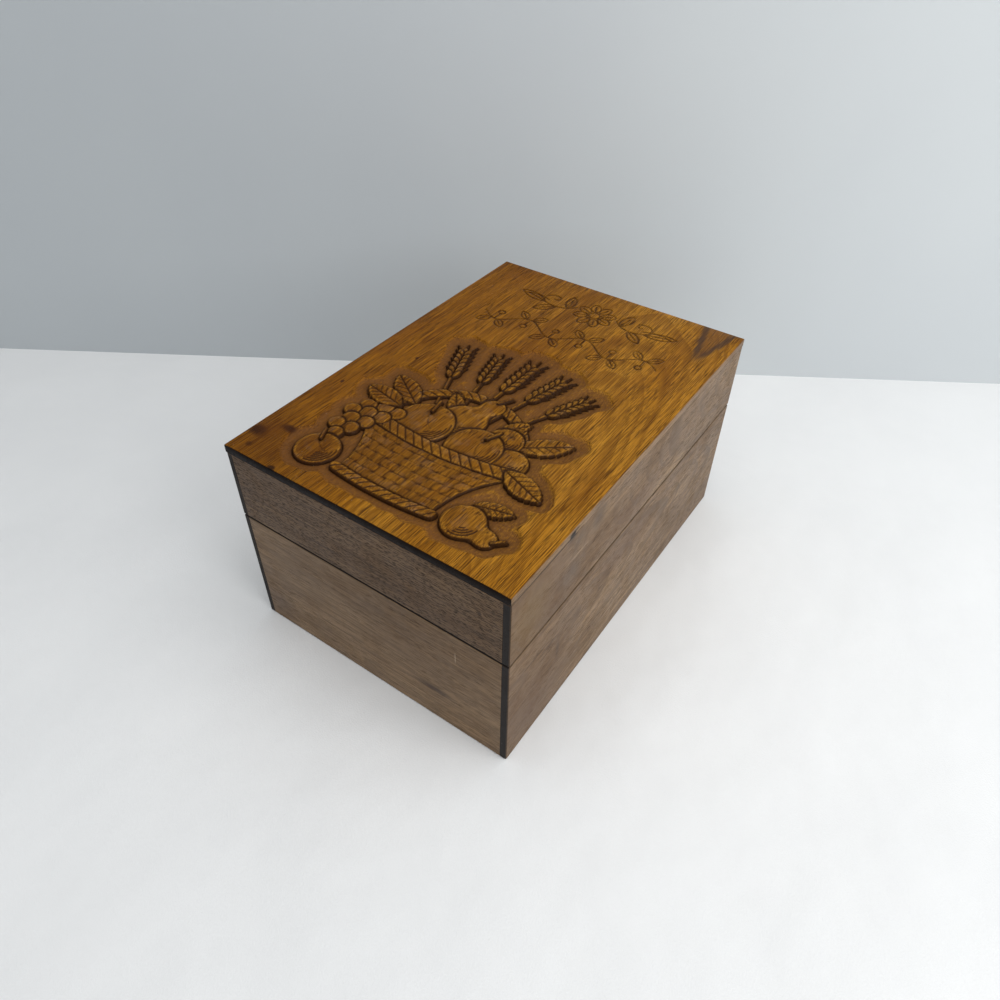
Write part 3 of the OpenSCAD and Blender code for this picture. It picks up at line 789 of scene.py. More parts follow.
def wood_figure():
    """Wood in the round, in millimetres with the grain along Z.

    Rings are the fractional part of the distance to a pith line that leans from the grain, bent
    by noise. Fibres are noise drawn out along the grain, lines are its thin crests, and pores
    are drawn-out cells.
    """
    b, given, end = node_group(
        "Wood figure",
        {"Place": (0, 0, 0), "Seed": (0, 0, 0), "Pith": (0, -60, 0), "Lean": (0, 0, 0), "Ring Width": 4.0,
         "Waver": 6.0, "Pore Pitch": 0.7, "Pore Length": 6.0, "Crowding": 1.0},
        ["Rings", "Fibres", "Lines", "Pores", "Clouds"])
    place = given["Place"]
    shifted = b.vector("ADD", place, given["Seed"])
    bend = b.vector("SUBTRACT", b.noise(shifted, (0.022, 0.022, 0.007), output="Color"), (0.5, 0.5, 0.5))
    pith = b.vector("ADD", given["Pith"], b.scaled(given["Lean"], b.parts(place)[2]))
    away = b.vector("SUBTRACT", b.vector("ADD", place, b.scaled(bend, given["Waver"])), pith)
    distance = b.vector("LENGTH", b.vector("MULTIPLY", away, (1, 1, 0)))
    uneven = b.node("TexNoise", {"W": b.times(distance, 0.11), "Scale": 1.0, "Detail": 2.0},
                    noise_dimensions="1D").outputs["Fac"]
    phase = b.math("FRACT", b.plus(b.over(distance, given["Ring Width"]), b.times(uneven, 3.0)))
    faint = b.noise(shifted, (0.12, 0.12, 0.02), 2.0, 0.6)
    late = b.times(b.math("POWER", b.ramp(phase, 0.2, 0.95), 2.5), b.ramp(phase, 1.0, 0.94))
    rings = b.times(late, b.ramp(faint, 0.3, 0.6, 0.35, 1.0))
    fibres = b.times_plus(b.noise(shifted, (1.5, 1.5, 0.035), 4.0, 0.65), 0.65,
                          b.times(b.noise(shifted, (5.5, 5.5, 0.16), 2.0, 0.6), 0.35))
    strands = b.noise(shifted, (2.7, 2.7, 0.055), 1.0)
    broken = b.ramp(b.noise(shifted, (0.2, 0.2, 0.05)), 0.3, 0.6, 0.6, 1.0)
    lines = b.times(b.ramp(strands, 0.49, 0.6), broken)
    pitch = given["Pore Pitch"]
    size = b.node("CombineXYZ", {0: pitch, 1: pitch, 2: given["Pore Length"]}).outputs[0]
    crowd = b.times(b.noise(shifted, (0.35, 0.35, 0.012)), b.minus(1.15, b.times(rings, 0.55)))
    limit = b.ramp(b.times(crowd, given["Crowding"]), 0.28, 0.6, 0.1, 0.42)
    pores = b.ramp(b.minus(limit, b.cells(b.vector("DIVIDE", shifted, size))), 0.0, 0.16)
    clouds = b.noise(shifted, (0.035, 0.035, 0.009), 3.0, 0.55)
    return b.close(end, Rings=rings, Fibres=fibres, Lines=lines, Pores=pores, Clouds=clouds)


def box_edge():
    """One near the edges of a block and zero away from them, broken up by noise.

    On a face of the block one of the three distances to its sides is nought, and the next
    smallest is the distance to the nearest edge.
    """
    b, given, end = node_group(
        "Box edge", {"Place": (0, 0, 0), "Middle": (0, 0, 0), "Half": (10, 10, 10), "Width": 1.6}, ["Edge"])
    from_middle = b.vector("ABSOLUTE", b.vector("SUBTRACT", given["Place"], given["Middle"]))
    x, y, z = b.parts(b.vector("SUBTRACT", given["Half"], from_middle))
    second = b.larger(b.smaller(x, y), b.smaller(b.larger(x, y), z))
    uneven = b.noise(given["Place"], (0.22, 0.22, 0.22), 3.0, 0.6)
    reach = b.times(given["Width"], b.times_plus(uneven, 2.6, -0.5))
    return b.close(end, Edge=b.ramp(b.over(second, b.larger(reach, 0.05)), 1.0, 0.1))


def wood_spot():
    """One inside a wavering ellipse and zero outside it: a knot, a smudge or a pit."""
    b, given, end = node_group(
        "Wood spot",
        {"Place": (0, 0, 0), "Middle": (0, 0, 0), "Reach": (5, 5, 5), "Waver": 0.22, "Softness": 0.5},
        ["Spot"])
    away = b.vector("DIVIDE", b.vector("SUBTRACT", given["Place"], given["Middle"]), given["Reach"])
    uneven = b.minus(b.noise(given["Place"], (0.3, 0.3, 0.3), 3.0, 0.6), 0.5)
    far = b.times_plus(uneven, b.times(given["Waver"], 2.0), b.vector("LENGTH", away))
    return b.close(end, Spot=b.ramp(far, 1.0, b.minus(1.0, given["Softness"])))


def handling():
    """Traces of use: broad smudges where the finish is duller, and fine grains of dust."""
    b, given, end = node_group("Handling", {"Place": (0, 0, 0), "Seed": (0, 0, 0)}, ["Smudge", "Dust"])
    place = b.vector("ADD", given["Place"], given["Seed"])
    smudge = b.ramp(b.noise(place, (0.06, 0.06, 0.06), 4.0, 0.65), 0.4, 0.68)
    grains = b.ramp(b.cells(b.vector("MULTIPLY", place, (0.45, 0.45, 0.45))), 0.1, 0.03)
    return b.close(end, Smudge=smudge,
                   Dust=b.times(grains, b.ramp(b.noise(place, (0.11, 0.11, 0.11)), 0.52, 0.64)))


GROUPS = {}


def shared(maker):
    """The node group that maker builds, built once."""
    if maker not in GROUPS:
        GROUPS[maker] = maker()
    return GROUPS[maker]


def new_material(name):
    """A material with a Principled shader: its bench, the shader and places in millimetres."""
    material = bpy.data.materials.new(name)
    material.use_nodes = True
    b = Bench(material.node_tree)
    shader = material.node_tree.nodes["Principled BSDF"]
    place = b.node("TexCoord").outputs
    millimetres = b.vector("MULTIPLY", place["Object"], (1000, 1000, 1000))
    return material, b, shader, place, millimetres


ALONG_Y = (np.radians(90), 0, 0)
ALONG_X = (0, np.radians(90), 0)


def grain_place(b, place, middle, along):
    """Places in millimetres about the middle of a board, turned so that Z runs along its grain."""
    return b.node("Mapping", {"Vector": place["Object"], "Location": [v * MM for v in middle],
                              "Rotation": along, "Scale": (MM, MM, MM)}, vector_type="TEXTURE").outputs[0]


def end_mask(b, place, along):
    """One on the end grain, where the face looks along the grain."""
    axis = (0, 1, 0) if along is ALONG_Y else (1, 0, 0)
    facing = b.size(b.vector("DOT_PRODUCT", place["Normal"], axis))
    return b.ramp(facing, 0.45, 0.8)


# The faces that the marks lie on, in millimetres, and colours that several marks share
TOP_FACE, RIGHT_FACE, FRONT_FACE = 108, 73, -105
DARK, GREY, WARM = colour(62, 48, 40), colour(92, 78, 66), colour(104, 80, 62)
KNOT, PIT, GRIME = colour(52, 27, 10), colour(50, 28, 16), colour(40, 30, 22)
# The front shade colour is painted shade, darkening the front half of each right side.
PAINTED_FRONT_SHADE, SCRATCH = colour(90, 64, 40), colour(178, 158, 132)


def top_mark(x, y, wide, long, shade, strength, softness, deep=9):
    """A mark on the top for add_marks, with its place and reach in millimetres."""
    return (x, y, TOP_FACE), (wide, long, deep), shade, strength, softness


def right_mark(y, z, long, high, shade, strength, softness, deep=3):
    """A mark on the right side."""
    return (RIGHT_FACE, y, z), (deep, long, high), shade, strength, softness


def front_mark(x, z, wide, high, shade, strength, softness, deep=4):
    """A mark on the front."""
    return (x, FRONT_FACE, z), (wide, deep, high), shade, strength, softness


def add_marks(b, tone, place_mm, marks, fibres):
    """Lays spots over a colour. Each mark is a middle, a reach, a colour, a strength and a softness."""
    for middle, reach, shade, strength, softness in marks:
        spot = b.group(shared(wood_spot), Place=place_mm, Middle=middle, Reach=reach, Softness=softness)
        tone = b.tint(tone, spot["Spot"], b.ramp(fibres, 0.3, 0.6, 0.55 * strength, strength), shade)
    return tone


def finish_wood(b, shader, tone, dull, height):
    """Joins colour, roughness and the bump of the pores to the shader."""
    tree = b.tree
    tree.links.new(tone, shader.inputs["Base Color"])
    tree.links.new(dull, shader.inputs["Roughness"])
    bump = b.node("Bump", {"Strength": 1.0, "Distance": MM, "Height": height})
    tree.links.new(bump.outputs[0], shader.inputs["Normal"])


def honey_walnut(wood):
    """Top board: golden flat sawn wood, darker in the carving from stain and painted shade, with a satin
    varnish.
    """
    material, b, shader, place, mm = new_material("golden_walnut")
    grain = grain_place(b, place, (0, 0, TOP_Z), ALONG_Y)
    seed = (11.0, 3.0, 40.0)
    figure = b.group(shared(wood_figure), Place=grain, Seed=seed, Pith=(38.0, -46.0, 0.0),
                     Lean=(0.05, 0.13, 0.0), Ring_Width=4.2, Waver=9.0, Pore_Pitch=0.4, Pore_Length=7.0)
    fibres, lines, clouds, pores = (figure[name] for name in ("Fibres", "Lines", "Clouds", "Pores"))
    stain_and_shade, ground, carved, rubbed_and_highlit = (b.node("Attribute", attribute_name=name).outputs["Fac"]
                                     for name in ("stain_and_shade", "ground", "figure", "wear_and_highlight"))
    tone = b.mix(b.ramp(clouds, 0.32, 0.68, 0.15, 0.85), wood.honey, wood.honey_light)
    x, y, _ = b.parts(mm)
    # Painted shade: the top darkens towards its left end.
    tone = b.mix(b.ramp(x, -75.0, 60.0, 0.95, 0.0), tone, b.mix(0.22, wood.honey, colour(96, 52, 8)))
    warm = b.ramp(b.noise(grain, (0.035, 0.035, 0.014), 3.0, 0.6), 0.48, 0.68, 0.0, 0.35)
    tone = b.mix(warm, tone, colour(116, 66, 18))
    front_left = top_mark(-56, -94, 38, 34, colour(90, 52, 10), 0.7, 1.0, deep=30)
    tone = add_marks(b, tone, mm, [front_left], fibres)
    tone = b.tint(tone, figure["Rings"], 0.45, wood.honey_dark)
    tone = b.tint(tone, carved, 0.28, wood.honey_dark)
    # Wear and painted highlight: lighter wood on the shoulders of the figures.
    tone = b.mix(b.times(rubbed_and_highlit, b.ramp(fibres, 0.42, 0.58, 0.1, 0.6)), tone, wood.honey_light)
    tone = b.mix(b.ramp(fibres, 0.4, 0.56, 0.5, 0.0), tone, wood.honey_dark)
    tone = b.tint(tone, lines, 0.75, colour(62, 31, 6))
    tone = b.tint(tone, pores, 0.6, wood.pores)
    # A dark streak in the shape of a V, open towards the back, that fades in from shown_y
    tip_x, tip_y, spread, shown_y, full_y = 62.6, 68.0, 0.21, 66.0, 80.0
    off = b.times_plus(b.noise(mm, (0.5, 0.05, 0.5), 3.0, 0.6), 4.0, b.plus(x, -tip_x))
    inward = b.times_plus(b.minus(y, tip_y), -spread, b.size(off))
    shown = b.ramp(y, shown_y, full_y)
    between = b.times(b.ramp(inward, 0.8, -1.2), b.times(shown, 0.5))
    arms = b.times(b.ramp(b.size(inward), 2.6, 0.6), b.times(shown, 0.85))
    tone = b.mix(between, tone, colour(92, 62, 38))
    tone = b.mix(arms, tone, colour(64, 46, 34))
    tone = add_marks(b, tone, mm, [
        top_mark(-68.5, -89.5, 6.5, 5.5, KNOT, 1.3, 0.8),
        top_mark(-58.5, -81.5, 6.5, 3.2, KNOT, 1.2, 0.8),
        top_mark(-64.5, -85, 12, 9, colour(84, 46, 14), 0.5, 0.9),
        top_mark(-65, -98.5, 2.2, 2.2, KNOT, 0.8, 0.7),
        top_mark(-49.4, -6.1, 1.1, 1.3, PIT, 1.0, 0.5, deep=2),
        top_mark(-65.1, -41.7, 1.2, 1.6, PIT, 1.0, 0.5, deep=2),
        top_mark(-45.5, -104.2, 2.8, 2.0, colour(34, 20, 12), 1.0, 0.6, deep=2)], fibres)
    mottle = b.noise(mm, (0.9, 0.9, 0.9), 3.0, 0.6)
    sunk = b.times(b.ramp(ground, 0.0, 0.35), b.minus(1.0, carved))
    tone = b.mix(b.times(sunk, b.ramp(mottle, 0.3, 0.62, 0.5, 0.88)), tone, wood.ground)
    # Stain and painted shade: dark in the cuts, in the hollows and round the figures.
    tone = b.tint(tone, stain_and_shade, 0.93, wood.cut_stain_and_shade)
    x, y, z = b.parts(b.vector("ABSOLUTE", mm))
    below = b.ramp(z, TOP_Z - 0.05, TOP_Z - 0.45)
    sides = b.times(below, b.ramp(x, BODY_HALF[0] - 0.5, BODY_HALF[0] - 0.2))
    side_tone = b.mix(b.ramp(clouds, 0.36, 0.64), wood.walnut, wood.walnut_light)
    side_tone = b.tint(side_tone, b.larger(lines, pores), 0.6, wood.walnut_dark)
    side_tone = add_marks(b, side_tone, mm, [
        right_mark(-43, 101, 9, 9, GREY, 0.8, 1.0, deep=4),
        right_mark(-63, 104, 5, 4, colour(62, 48, 36), 0.6, 0.9),
        right_mark(-60.5, 106.4, 2.5, 0.7, GRIME, 0.8, 0.6),
        right_mark(-63.3, 105.1, 2.6, 2.0, colour(34, 20, 8), 1.8, 0.5),
        right_mark(-84, 103.9, 34, 0.6, GRIME, 0.9, 0.6)], fibres)
    tone = b.mix(sides, tone, side_tone)
    ends = b.times(end_mask(b, place, ALONG_Y), b.ramp(y, BODY_HALF[1] - 0.8, BODY_HALF[1] - 0.4))
    end_tone = b.mix(b.ramp(z, TOP_Z - 3.5, TOP_Z - 0.8), wood.end_grain, colour(5, 5, 6))
    tone = b.tint(tone, ends, 0.97, end_tone)
    edge = b.group(shared(box_edge), Place=mm, Middle=(0, 0, TOP_Z - 20),
                   Half=(BODY_HALF[0], BODY_HALF[1] + 3, 20.0), Width=0.9)
    tone = b.tint(tone, edge["Edge"], 0.4, wood.honey_dark)
    used = b.group(shared(handling), Place=mm, Seed=seed)
    tone = b.tint(tone, used["Dust"], 0.35, colour(190, 176, 150))
    dull = b.times_plus(used["Smudge"], 0.12, b.times_plus(pores, 0.2, 0.34))
    dull = b.plus(dull, b.times(b.larger(ends, sunk), 0.2))
    height = b.times_plus(pores, -0.05, b.times(lines, -0.02))
    height = b.times_plus(b.times(sunk, mottle), 0.3, height)
    finish_wood(b, shader, tone, dull, height)
    shader.inputs["Specular IOR Level"].default_value = 0.04
    pooled = b.ramp(b.noise(mm, (0.16, 0.16, 0.16), 3.0, 0.6), 0.54, 0.61, 0.03, 0.4)
    gloss = b.times(b.times(carved, pooled), b.minus(1.0, stain_and_shade))
    b.tree.links.new(b.larger(0.03, gloss), shader.inputs["Coat Weight"])
    shader.inputs["Coat Roughness"].default_value = 0.12
    return material


def frame_walnut(wood, name, middle, half, along, pith, lean, seed, rings=0.5, streaks=0.6, cast=None,
                 crowding=1.0, waver=8.0, strands=0.6, pore_length=6.0, rim=0.0, marks=()):
    """Frame board: greyer walnut with open pores, dark end grain and a thin worn finish."""
    material, b, shader, place, mm = new_material(name)
    grain = grain_place(b, place, middle, along)
    figure = b.group(shared(wood_figure), Place=grain, Seed=seed, Pith=pith, Lean=lean, Ring_Width=3.6,
                     Waver=waver, Pore_Pitch=0.45, Pore_Length=pore_length, Crowding=crowding)
    fibres, lines, clouds, pores = (figure[name] for name in ("Fibres", "Lines", "Clouds", "Pores"))
    tone = b.mix(b.ramp(clouds, 0.36, 0.64), wood.walnut, wood.walnut_light)
    tone = b.tint(tone, figure["Rings"], rings, wood.walnut_dark)
    dark = wood.walnut_dark
    if cast:
        tone = b.mix(0.62, tone, cast)
        dark = colour(46, 32, 21)
    tone = b.mix(b.ramp(fibres, 0.4, 0.56, 0.6, 0.0), tone, dark)
    tone = b.tint(tone, lines, 0.85 * strands, dark)
    tone = b.tint(tone, pores, streaks, wood.pores)
    tone = add_marks(b, tone, mm, marks, fibres)
    ends = end_mask(b, place, along)
    tone = b.tint(tone, ends, 0.94, b.tint(wood.end_grain, pores, 0.5, wood.pores))
    x, y, z = b.parts(b.vector("ABSOLUTE", mm))
    # The boards are 6.35 mm thick, so what lies deeper than this is the inside of the box.
    skin, deeper = 6.1, 6.3
    hollow = b.times(b.ramp(x, BODY_HALF[0] - skin, BODY_HALF[0] - deeper),
                     b.ramp(y, BODY_HALF[1] - skin, BODY_HALF[1] - deeper))
    tone = b.tint(tone, hollow, 0.3, wood.walnut_light)
    edge = b.group(shared(box_edge), Place=mm, Middle=middle, Half=half, Width=1.1)["Edge"]
    tone = b.tint(tone, edge, 0.45, wood.walnut_dark)
    # Painted shade: a near-black line on the outer faces along the rim, where the lid meets the base.
    on_side = b.ramp(x, BODY_HALF[0] - 1.0, BODY_HALF[0] - 0.6, 0.0, 0.65)
    on_front = b.ramp(y, BODY_HALF[1] - 1.0, BODY_HALF[1] - 0.6)
    near_rim = b.ramp(b.size(b.minus(z, rim)), 0.6, 0.3)
    tone = b.mix(b.times(near_rim, b.larger(on_side, on_front)), tone, colour(22, 15, 11))
    used = b.group(shared(handling), Place=mm, Seed=seed)
    tone = b.tint(tone, used["Dust"], 0.4, colour(196, 188, 176))
    dull = b.times_plus(used["Smudge"], 0.14, b.times_plus(pores, 0.2, 0.42))
    dull = b.plus(dull, b.times(b.larger(ends, hollow), 0.18))
    height = b.times_plus(pores, -0.05, b.times(fibres, 0.02))
    finish_wood(b, shader, tone, dull, height)
    shader.inputs["Specular IOR Level"].default_value = 0.16
    shader.inputs["Coat Weight"].default_value = 0.03
    shader.inputs["Coat Roughness"].default_value = 0.35
    return material


def birch_plywood(wood):
    """Plywood: pale rotary cut face with long soft figure, scuffed underneath."""
    material, b, shader, place, mm = new_material("birch_plywood")
    seed = (70.0, 9.0, 2.0)
    figure = b.group(shared(wood_figure), Place=grain_place(b, place, (0, 0, 0), ALONG_Y), Seed=seed,
                     Pith=(10.0, -150.0, 0.0), Lean=(0.1, 0.3, 0.0), Ring_Width=9.0, Waver=60.0,
                     Pore_Pitch=0.5, Pore_Length=3.0)
    tone = b.mix(b.times(figure["Rings"], 0.4), wood.birch, colour(168, 128, 84))
    tone = b.mix(b.ramp(figure["Fibres"], 0.36, 0.6, 0.35, 0.0), tone, colour(150, 112, 72))
    tone = b.tint(tone, figure["Pores"], 0.4, colour(120, 86, 54))
    used = b.group(shared(handling), Place=mm, Seed=seed)
    tone = b.tint(tone, used["Smudge"], 0.35, colour(140, 112, 82))
    sides = b.ramp(b.size(b.parts(place["Normal"])[2]), 0.6, 0.4)
    plies = b.ramp(b.math("PINGPONG", b.parts(mm)[2], 0.8), 0.3, 0.5)
    tone = b.tint(tone, sides, plies, colour(110, 76, 46))
    dull = b.times_plus(used["Smudge"], 0.1, 0.58)
    height = b.times_plus(figure["Pores"], -0.02, b.times(figure["Fibres"], 0.03))
    finish_wood(b, shader, tone, dull, height)
    return material


def aged_brass(brass, name, tarnish, dullness):
    """Brass: brown tarnish in clouds, hairline scratches and a soft grain from the rolling mill."""
    material, b, shader, _, mm = new_material(name)
    cloud = b.noise(mm, (0.35, 0.5, 0.5), 5.0, 0.65)
    fine = b.noise(mm, (3.0, 3.0, 3.0), 3.0, 0.6)
    scratches = b.ramp(b.noise(mm, (0.4, 12.0, 12.0), 2.0, 0.5), 0.64, 0.72)
    aged = b.ramp(b.times_plus(fine, 0.4, cloud), 0.9 - tarnish, 1.15 - tarnish)
    tone = b.mix(aged, brass.brass, brass.tarnish)
    tone = b.tint(tone, scratches, 0.35, colour(226, 196, 136))
    dull = b.times_plus(aged, 0.22, b.times_plus(fine, 0.12, dullness))
    shader.inputs["Metallic"].default_value = 1.0
    finish_wood(b, shader, tone, dull, b.times_plus(scratches, -0.006, b.times(cloud, 0.02)))
    return material


def dress(node, material, round_edges):
    """Gives a CAD node its material, joins its loose triangles and rounds its edges."""
    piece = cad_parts[node]
    for slot in piece.material_slots:
        slot.link = "OBJECT"
        slot.material = material
    weld = piece.modifiers.new("Join", "WELD")
    weld.merge_threshold = 1e-6
    bevel = piece.modifiers.new("Ease", "BEVEL")
    bevel.width = round_edges
    bevel.segments = 2
    bevel.limit_method = "ANGLE"
    bevel.angle_limit = np.radians(30)


class CARDBOX_OT_carved_top(bpy.types.Operator):
    """Top board of the lid, with its carving"""
    bl_idname = "card_box.carved_top"
    bl_label = "Carved Top"

    def execute(self, context):
        settings = context.scene.card_box
        board = carved_sheet(settings.carving)
        board.data.materials.append(honey_walnut(settings.wood))
        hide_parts("lid_top_panel")
        return {"FINISHED"}


BOARD_EDGE = 0.15 * MM
BOARDS = {
    "base_front_wall": dict(
        along=ALONG_X, pith=(30.0, -70.0, 0.0), lean=(0.1, 0.05, 0.0), rings=0.3, streaks=0.5, strands=0.5,
        # Painted shade: the first mark darkens nearly the whole front of the base.
        marks=[front_mark(-30, 50, 96, 34, colour(78, 60, 46), 0.3, 1.0),
               front_mark(34, 21.5, 15, 3.4, DARK, 0.9, 0.9),
               front_mark(-62, 12, 16, 16, colour(74, 58, 52), 0.5, 1.0),
               front_mark(47, 53.5, 0.4, 4.5, SCRATCH, 0.6, 0.6, deep=2)]),
    "base_back_wall": dict(along=ALONG_X, pith=(-20.0, 80.0, 0.0), lean=(0.0, 0.1, 0.0)),
    "base_left_wall": dict(along=ALONG_Y, pith=(-60.0, 10.0, 0.0), lean=(0.15, 0.0, 0.0)),
    "base_right_wall": dict(
        along=ALONG_Y, pith=(-24.0, 12.0, 0.0), lean=(0.14, 0.02, 0.0), rings=0.6, waver=5.0,
        # Painted shade: the first mark darkens the front half of the right side.
        marks=[right_mark(-95, 30, 90, 90, PAINTED_FRONT_SHADE, 0.5, 1.0, deep=4),
               right_mark(-88, 14, 30, 24, colour(98, 76, 60), 0.55, 1.0, deep=4),
               right_mark(-8, 54, 44, 14, WARM, 0.5, 1.0, deep=4),
               right_mark(-86, 52.5, 24, 0.8, DARK, 0.6, 0.7),
               right_mark(-32, 45, 2.2, 3.4, DARK, 0.5, 0.9),
               right_mark(-74, 49, 10, 2.4, DARK, 0.5, 0.8),
               right_mark(-67, 39, 2.6, 13, DARK, 0.5, 0.9),
               right_mark(-70, 30, 16, 1, DARK, 0.4, 0.9)]),
    "lid_front_wall": dict(
        along=ALONG_X, pith=(-30.0, -64.0, 0.0), lean=(-0.05, 0.0, 0.0), streaks=0.95,
        cast=colour(90, 65, 43), crowding=1.6, strands=0.5, pore_length=3.0,
        marks=[front_mark(-40, 98.6, 1, 1, DARK, 0.9, 0.5, deep=2),
               front_mark(59.5, 90.5, 1, 1, DARK, 0.9, 0.5, deep=2),
               front_mark(5.8, 82, 1.2, 0.8, DARK, 0.9, 0.5, deep=2)]),
    "lid_back_wall": dict(along=ALONG_X, pith=(40.0, 70.0, 0.0), lean=(0.05, 0.0, 0.0)),
    "lid_left_wall": dict(along=ALONG_Y, pith=(-80.0, -12.0, 0.0), lean=(0.0, 0.08, 0.0)),
    "lid_right_wall": dict(
        along=ALONG_Y, pith=(58.0, 8.0, 0.0), lean=(0.2, -0.05, 0.0),
        # Painted shade: the first mark darkens the front half of the right side.
        marks=[right_mark(-95, 95, 90, 90, PAINTED_FRONT_SHADE, 0.64, 1.0, deep=4),
               right_mark(-42, 98, 8, 10, GREY, 0.9, 1.0, deep=4),
               right_mark(-57, 98, 12, 9, GREY, 0.6, 1.0, deep=4),
               right_mark(-62, 82, 14, 9, GREY, 0.6, 1.0, deep=4),
               right_mark(-57, 90, 12, 1.6, colour(152, 130, 106), 0.6, 1.0, deep=4),
               right_mark(-63, 104, 6, 4, DARK, 0.8, 0.9),
               right_mark(-84, 103.9, 34, 0.6, GRIME, 0.9, 0.6),
               right_mark(-4, 76, 44, 12, WARM, 0.6, 1.0, deep=4),
               right_mark(-92, 86, 22, 24, colour(114, 90, 54), 0.55, 0.9, deep=4)]),
}


class CARDBOX_OT_frame_boards(bpy.types.Operator):
    """Front, back and side boards of the base and of the lid"""
    bl_idname = "card_box.frame_boards"
    bl_label = "Frame Boards"

    def execute(self, context):
        wood = context.scene.card_box.wood
        for index, (node, figure) in enumerate(BOARDS.items()):
            low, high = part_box(node)
            middle = tuple((low + high) / 2 / MM)
            block = [node.split("_")[0] + side for side in ("_left_wall", "_right_wall")]
            left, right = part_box(block[0])[0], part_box(block[1])[1]
            half = tuple((right - left) / 2 / MM)
            seed = (17.0 * index, 31.0 * index, 60.0 * index)
            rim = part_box(node)[1 if node.startswith("base") else 0].z / MM
            name = "walnut_" + node.replace("_wall", "")
            dress(node, frame_walnut(wood, name, middle, half, seed=seed, rim=rim, **figure), BOARD_EDGE)
        return {"FINISHED"}


class CARDBOX_OT_bottom(bpy.types.Operator):
    """Plywood bottom"""
    bl_idname = "card_box.bottom"
    bl_label = "Plywood Bottom"

    def execute(self, context):
        dress("base_bottom_panel", birch_plywood(context.scene.card_box.wood), BOARD_EDGE)
        return {"FINISHED"}


class CARDBOX_OT_hinges(bpy.types.Operator):
    """Brass hinges with their pins and screws"""
    bl_idname = "card_box.hinges"
    bl_label = "Hinges"

    def execute(self, context):
        brass = context.scene.card_box.brass
        finishes = {"leaf": aged_brass(brass, "brass_hinge", 0.28, 0.3),
                    "pin": aged_brass(brass, "brass_pin", 0.4, 0.28),
                    "screws": aged_brass(brass, "brass_screw", 0.22, 0.26)}
        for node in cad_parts:
            if "hinge" in node:
                dress(node, finishes[node.rsplit("_", 1)[1]], brass.edge_round)
        return {"FINISHED"}


def sheet_object(name, corners, material):
    """Flat four-sided sheet of the stage."""
    mesh = bpy.data.meshes.new(name)
    mesh.from_pydata([tuple(c) for c in corners], [], [(0, 1, 2, 3)])
    mesh.materials.append(material)
    sheet = bpy.data.objects.new(name, mesh)
    bpy.context.scene.collection.objects.link(sheet)


def lamp(name, place, aim, size, power, tint):
    """Square area lamp at a place, turned to face a point."""
    light = bpy.data.lights.new(name, "AREA")
    light.size = size
    light.energy = power
    light.color = tint
    item = bpy.data.objects.new(name, light)
    bpy.context.scene.collection.objects.link(item)
    back = (np.array(place) - np.array(aim)).astype(float)
    item.matrix_world = facing(place, back / np.linalg.norm(back), 0.0)


def facing(place, back, roll):
    """Matrix of something at place whose own Z axis points along back, rolled about it."""
    x = np.cross([0, 0, 1], back)
    x = x / np.linalg.norm(x) if np.linalg.norm(x) > 1e-6 else np.array([1.0, 0, 0])
    y = np.cross(back, x)
    right = np.cos(roll) * x + np.sin(roll) * y
    up = np.cos(roll) * y - np.sin(roll) * x
    matrix = np.eye(4)
    matrix[:3, :3] = np.column_stack([right, up, back])
    matrix[:3, 3] = place
    return Matrix(matrix.tolist())


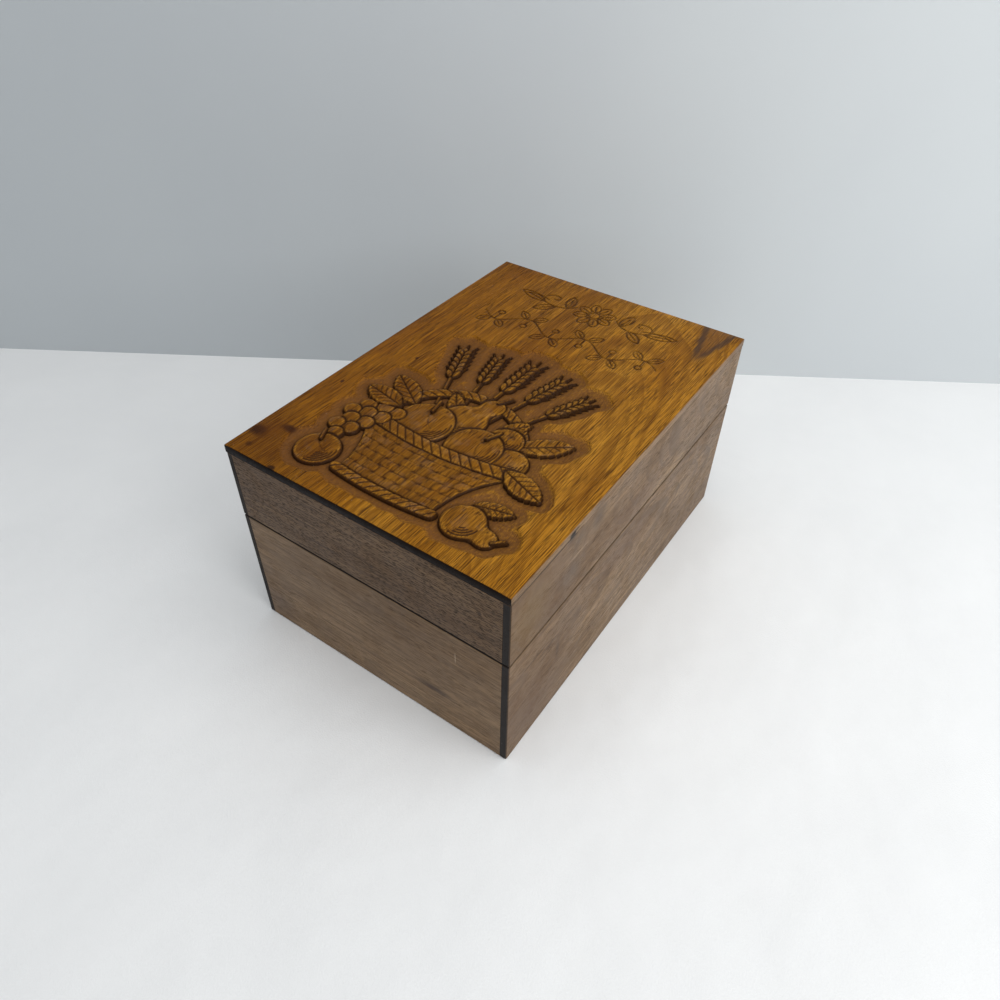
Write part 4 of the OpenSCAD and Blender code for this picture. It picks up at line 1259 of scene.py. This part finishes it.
class CARDBOX_OT_stage(bpy.types.Operator):
    """Pale table cloth and wall, lamps and camera"""
    bl_idname = "card_box.stage"
    bl_label = "Stage"

    def execute(self, context):
        stage = context.scene.card_box.stage
        turn, half, height, depth = np.radians(32.25), 1.5, 1.0, 3
        along, out = np.array([np.cos(turn), np.sin(turn), 0]), np.array([-np.sin(turn), np.cos(turn), 0])
        up = np.array([0, 0, height])
        foot = out * stage.wall_distance
        left, right = foot - half * along, foot + half * along
        cloth, b, shader, _, mm = new_material("table_cloth")
        soft = b.noise(mm, (0.012, 0.012, 0.012), 3.0)
        weave_noise = b.noise(mm, (1.4, 1.4, 1.4), 2.0)
        tone = b.mix(b.ramp(soft, 0.3, 0.7, 0.0, 0.12), stage.cloth, colour(206, 207, 208))
        finish_wood(b, shader, tone, b.times_plus(weave_noise, 0.1, 0.8),
                    b.times_plus(soft, 4.0, b.times(weave_noise, 0.1)))
        sheet_object("table_cloth", [left, left - depth * out, right - depth * out, right], cloth)

        wall, b, shader, _, mm = new_material("wall")
        cloudy = b.noise(mm, (0.006, 0.006, 0.004), 2.0)
        tone = b.mix(b.ramp(cloudy, 0.3, 0.7), stage.wall, colour(206, 211, 213))
        # Painted shade: the wall darkens towards the left.
        tone = b.mix(b.ramp(b.parts(mm)[0], 150.0, -350.0, 0.0, 0.6), tone, colour(172, 178, 182))
        b.tree.links.new(tone, shader.inputs["Base Color"])
        shader.inputs["Roughness"].default_value = 0.7
        behind = b.node("NewGeometry").outputs["Backfacing"]
        clear = b.node("BsdfTransparent").outputs[0]
        seen = b.node("MixShader", {0: behind, 1: shader.outputs[0], 2: clear}).outputs[0]
        b.tree.links.new(seen, b.tree.nodes["Material Output"].inputs["Surface"])
        sheet_object("wall", [right, right + up, left + up, left], wall)

        lamp("key_lamp", (0.75, -0.05, 0.55), (0, 0, 0.05), 0.7, stage.key_power, (1.0, 0.985, 0.965))
        lamp("top_lamp", (0.1, 0.0, 1.1), (0, 0, 0.1), 1.0, stage.top_power, (1.0, 0.99, 0.98))
        world = bpy.data.worlds.new("room")
        world.use_nodes = True
        b = Bench(world.node_tree)
        background = world.node_tree.nodes["Background"]
        background.inputs["Color"].default_value = (0.93, 0.96, 1.0, 1.0)
        background.inputs["Strength"].default_value = stage.sky
        backdrop = b.node("Background", {"Color": colour(190, 195, 197), "Strength": 1.0}).outputs[0]
        ray = b.node("LightPath").outputs
        direct = b.larger(b.larger(ray["Is Camera Ray"], ray["Is Transmission Ray"]), ray["Is Glossy Ray"])
        mixed = b.node("MixShader", {0: direct, 1: background.outputs[0], 2: backdrop}).outputs[0]
        world.node_tree.links.new(mixed, world.node_tree.nodes["World Output"].inputs["Surface"])
        context.scene.world = world

        e, a = stage.elevation, stage.azimuth
        back = np.array([np.sin(a) * np.cos(e), -np.cos(a) * np.cos(e), np.sin(e)])
        camera = bpy.data.cameras.new("camera")
        camera.lens = stage.lens
        camera.sensor_width = 36
        camera.clip_start = 0.01
        eye = bpy.data.objects.new("camera", camera)
        context.scene.collection.objects.link(eye)
        eye.matrix_world = facing(np.array(stage.target) + stage.distance * back, back, stage.roll)
        context.scene.camera = eye
        context.scene.view_settings.view_transform = "Standard"
        return {"FINISHED"}


OPERATORS = (CARDBOX_OT_carved_top, CARDBOX_OT_frame_boards, CARDBOX_OT_bottom, CARDBOX_OT_hinges,
             CARDBOX_OT_stage)


class CARDBOX_PT_panel(bpy.types.Panel):
    """Pieces and settings of the card box"""
    bl_label = "Card Box"
    bl_space_type = "VIEW_3D"
    bl_region_type = "UI"
    bl_category = "Card Box"

    def draw(self, context):
        settings = context.scene.card_box
        for operator in OPERATORS:
            self.layout.operator(operator.bl_idname)
        for group in (settings.carving, settings.wood, settings.brass, settings.stage):
            box = self.layout.box()
            for name in group.__annotations__:
                box.prop(group, name)


CLASSES = (CarvingSettings, WoodSettings, BrassSettings, StageSettings, CardBoxSettings,
           *OPERATORS, CARDBOX_PT_panel)


def register():
    for item in CLASSES:
        bpy.utils.register_class(item)
    bpy.types.Scene.card_box = PointerProperty(type=CardBoxSettings)


def unregister():
    del bpy.types.Scene.card_box
    for item in reversed(CLASSES):
        bpy.utils.unregister_class(item)


def main():
    """Builds every piece and the stage."""
    register()
    bpy.ops.card_box.carved_top()
    bpy.ops.card_box.frame_boards()
    bpy.ops.card_box.bottom()
    bpy.ops.card_box.hinges()
    bpy.ops.card_box.stage()


if __name__ == "__main__":
    main()
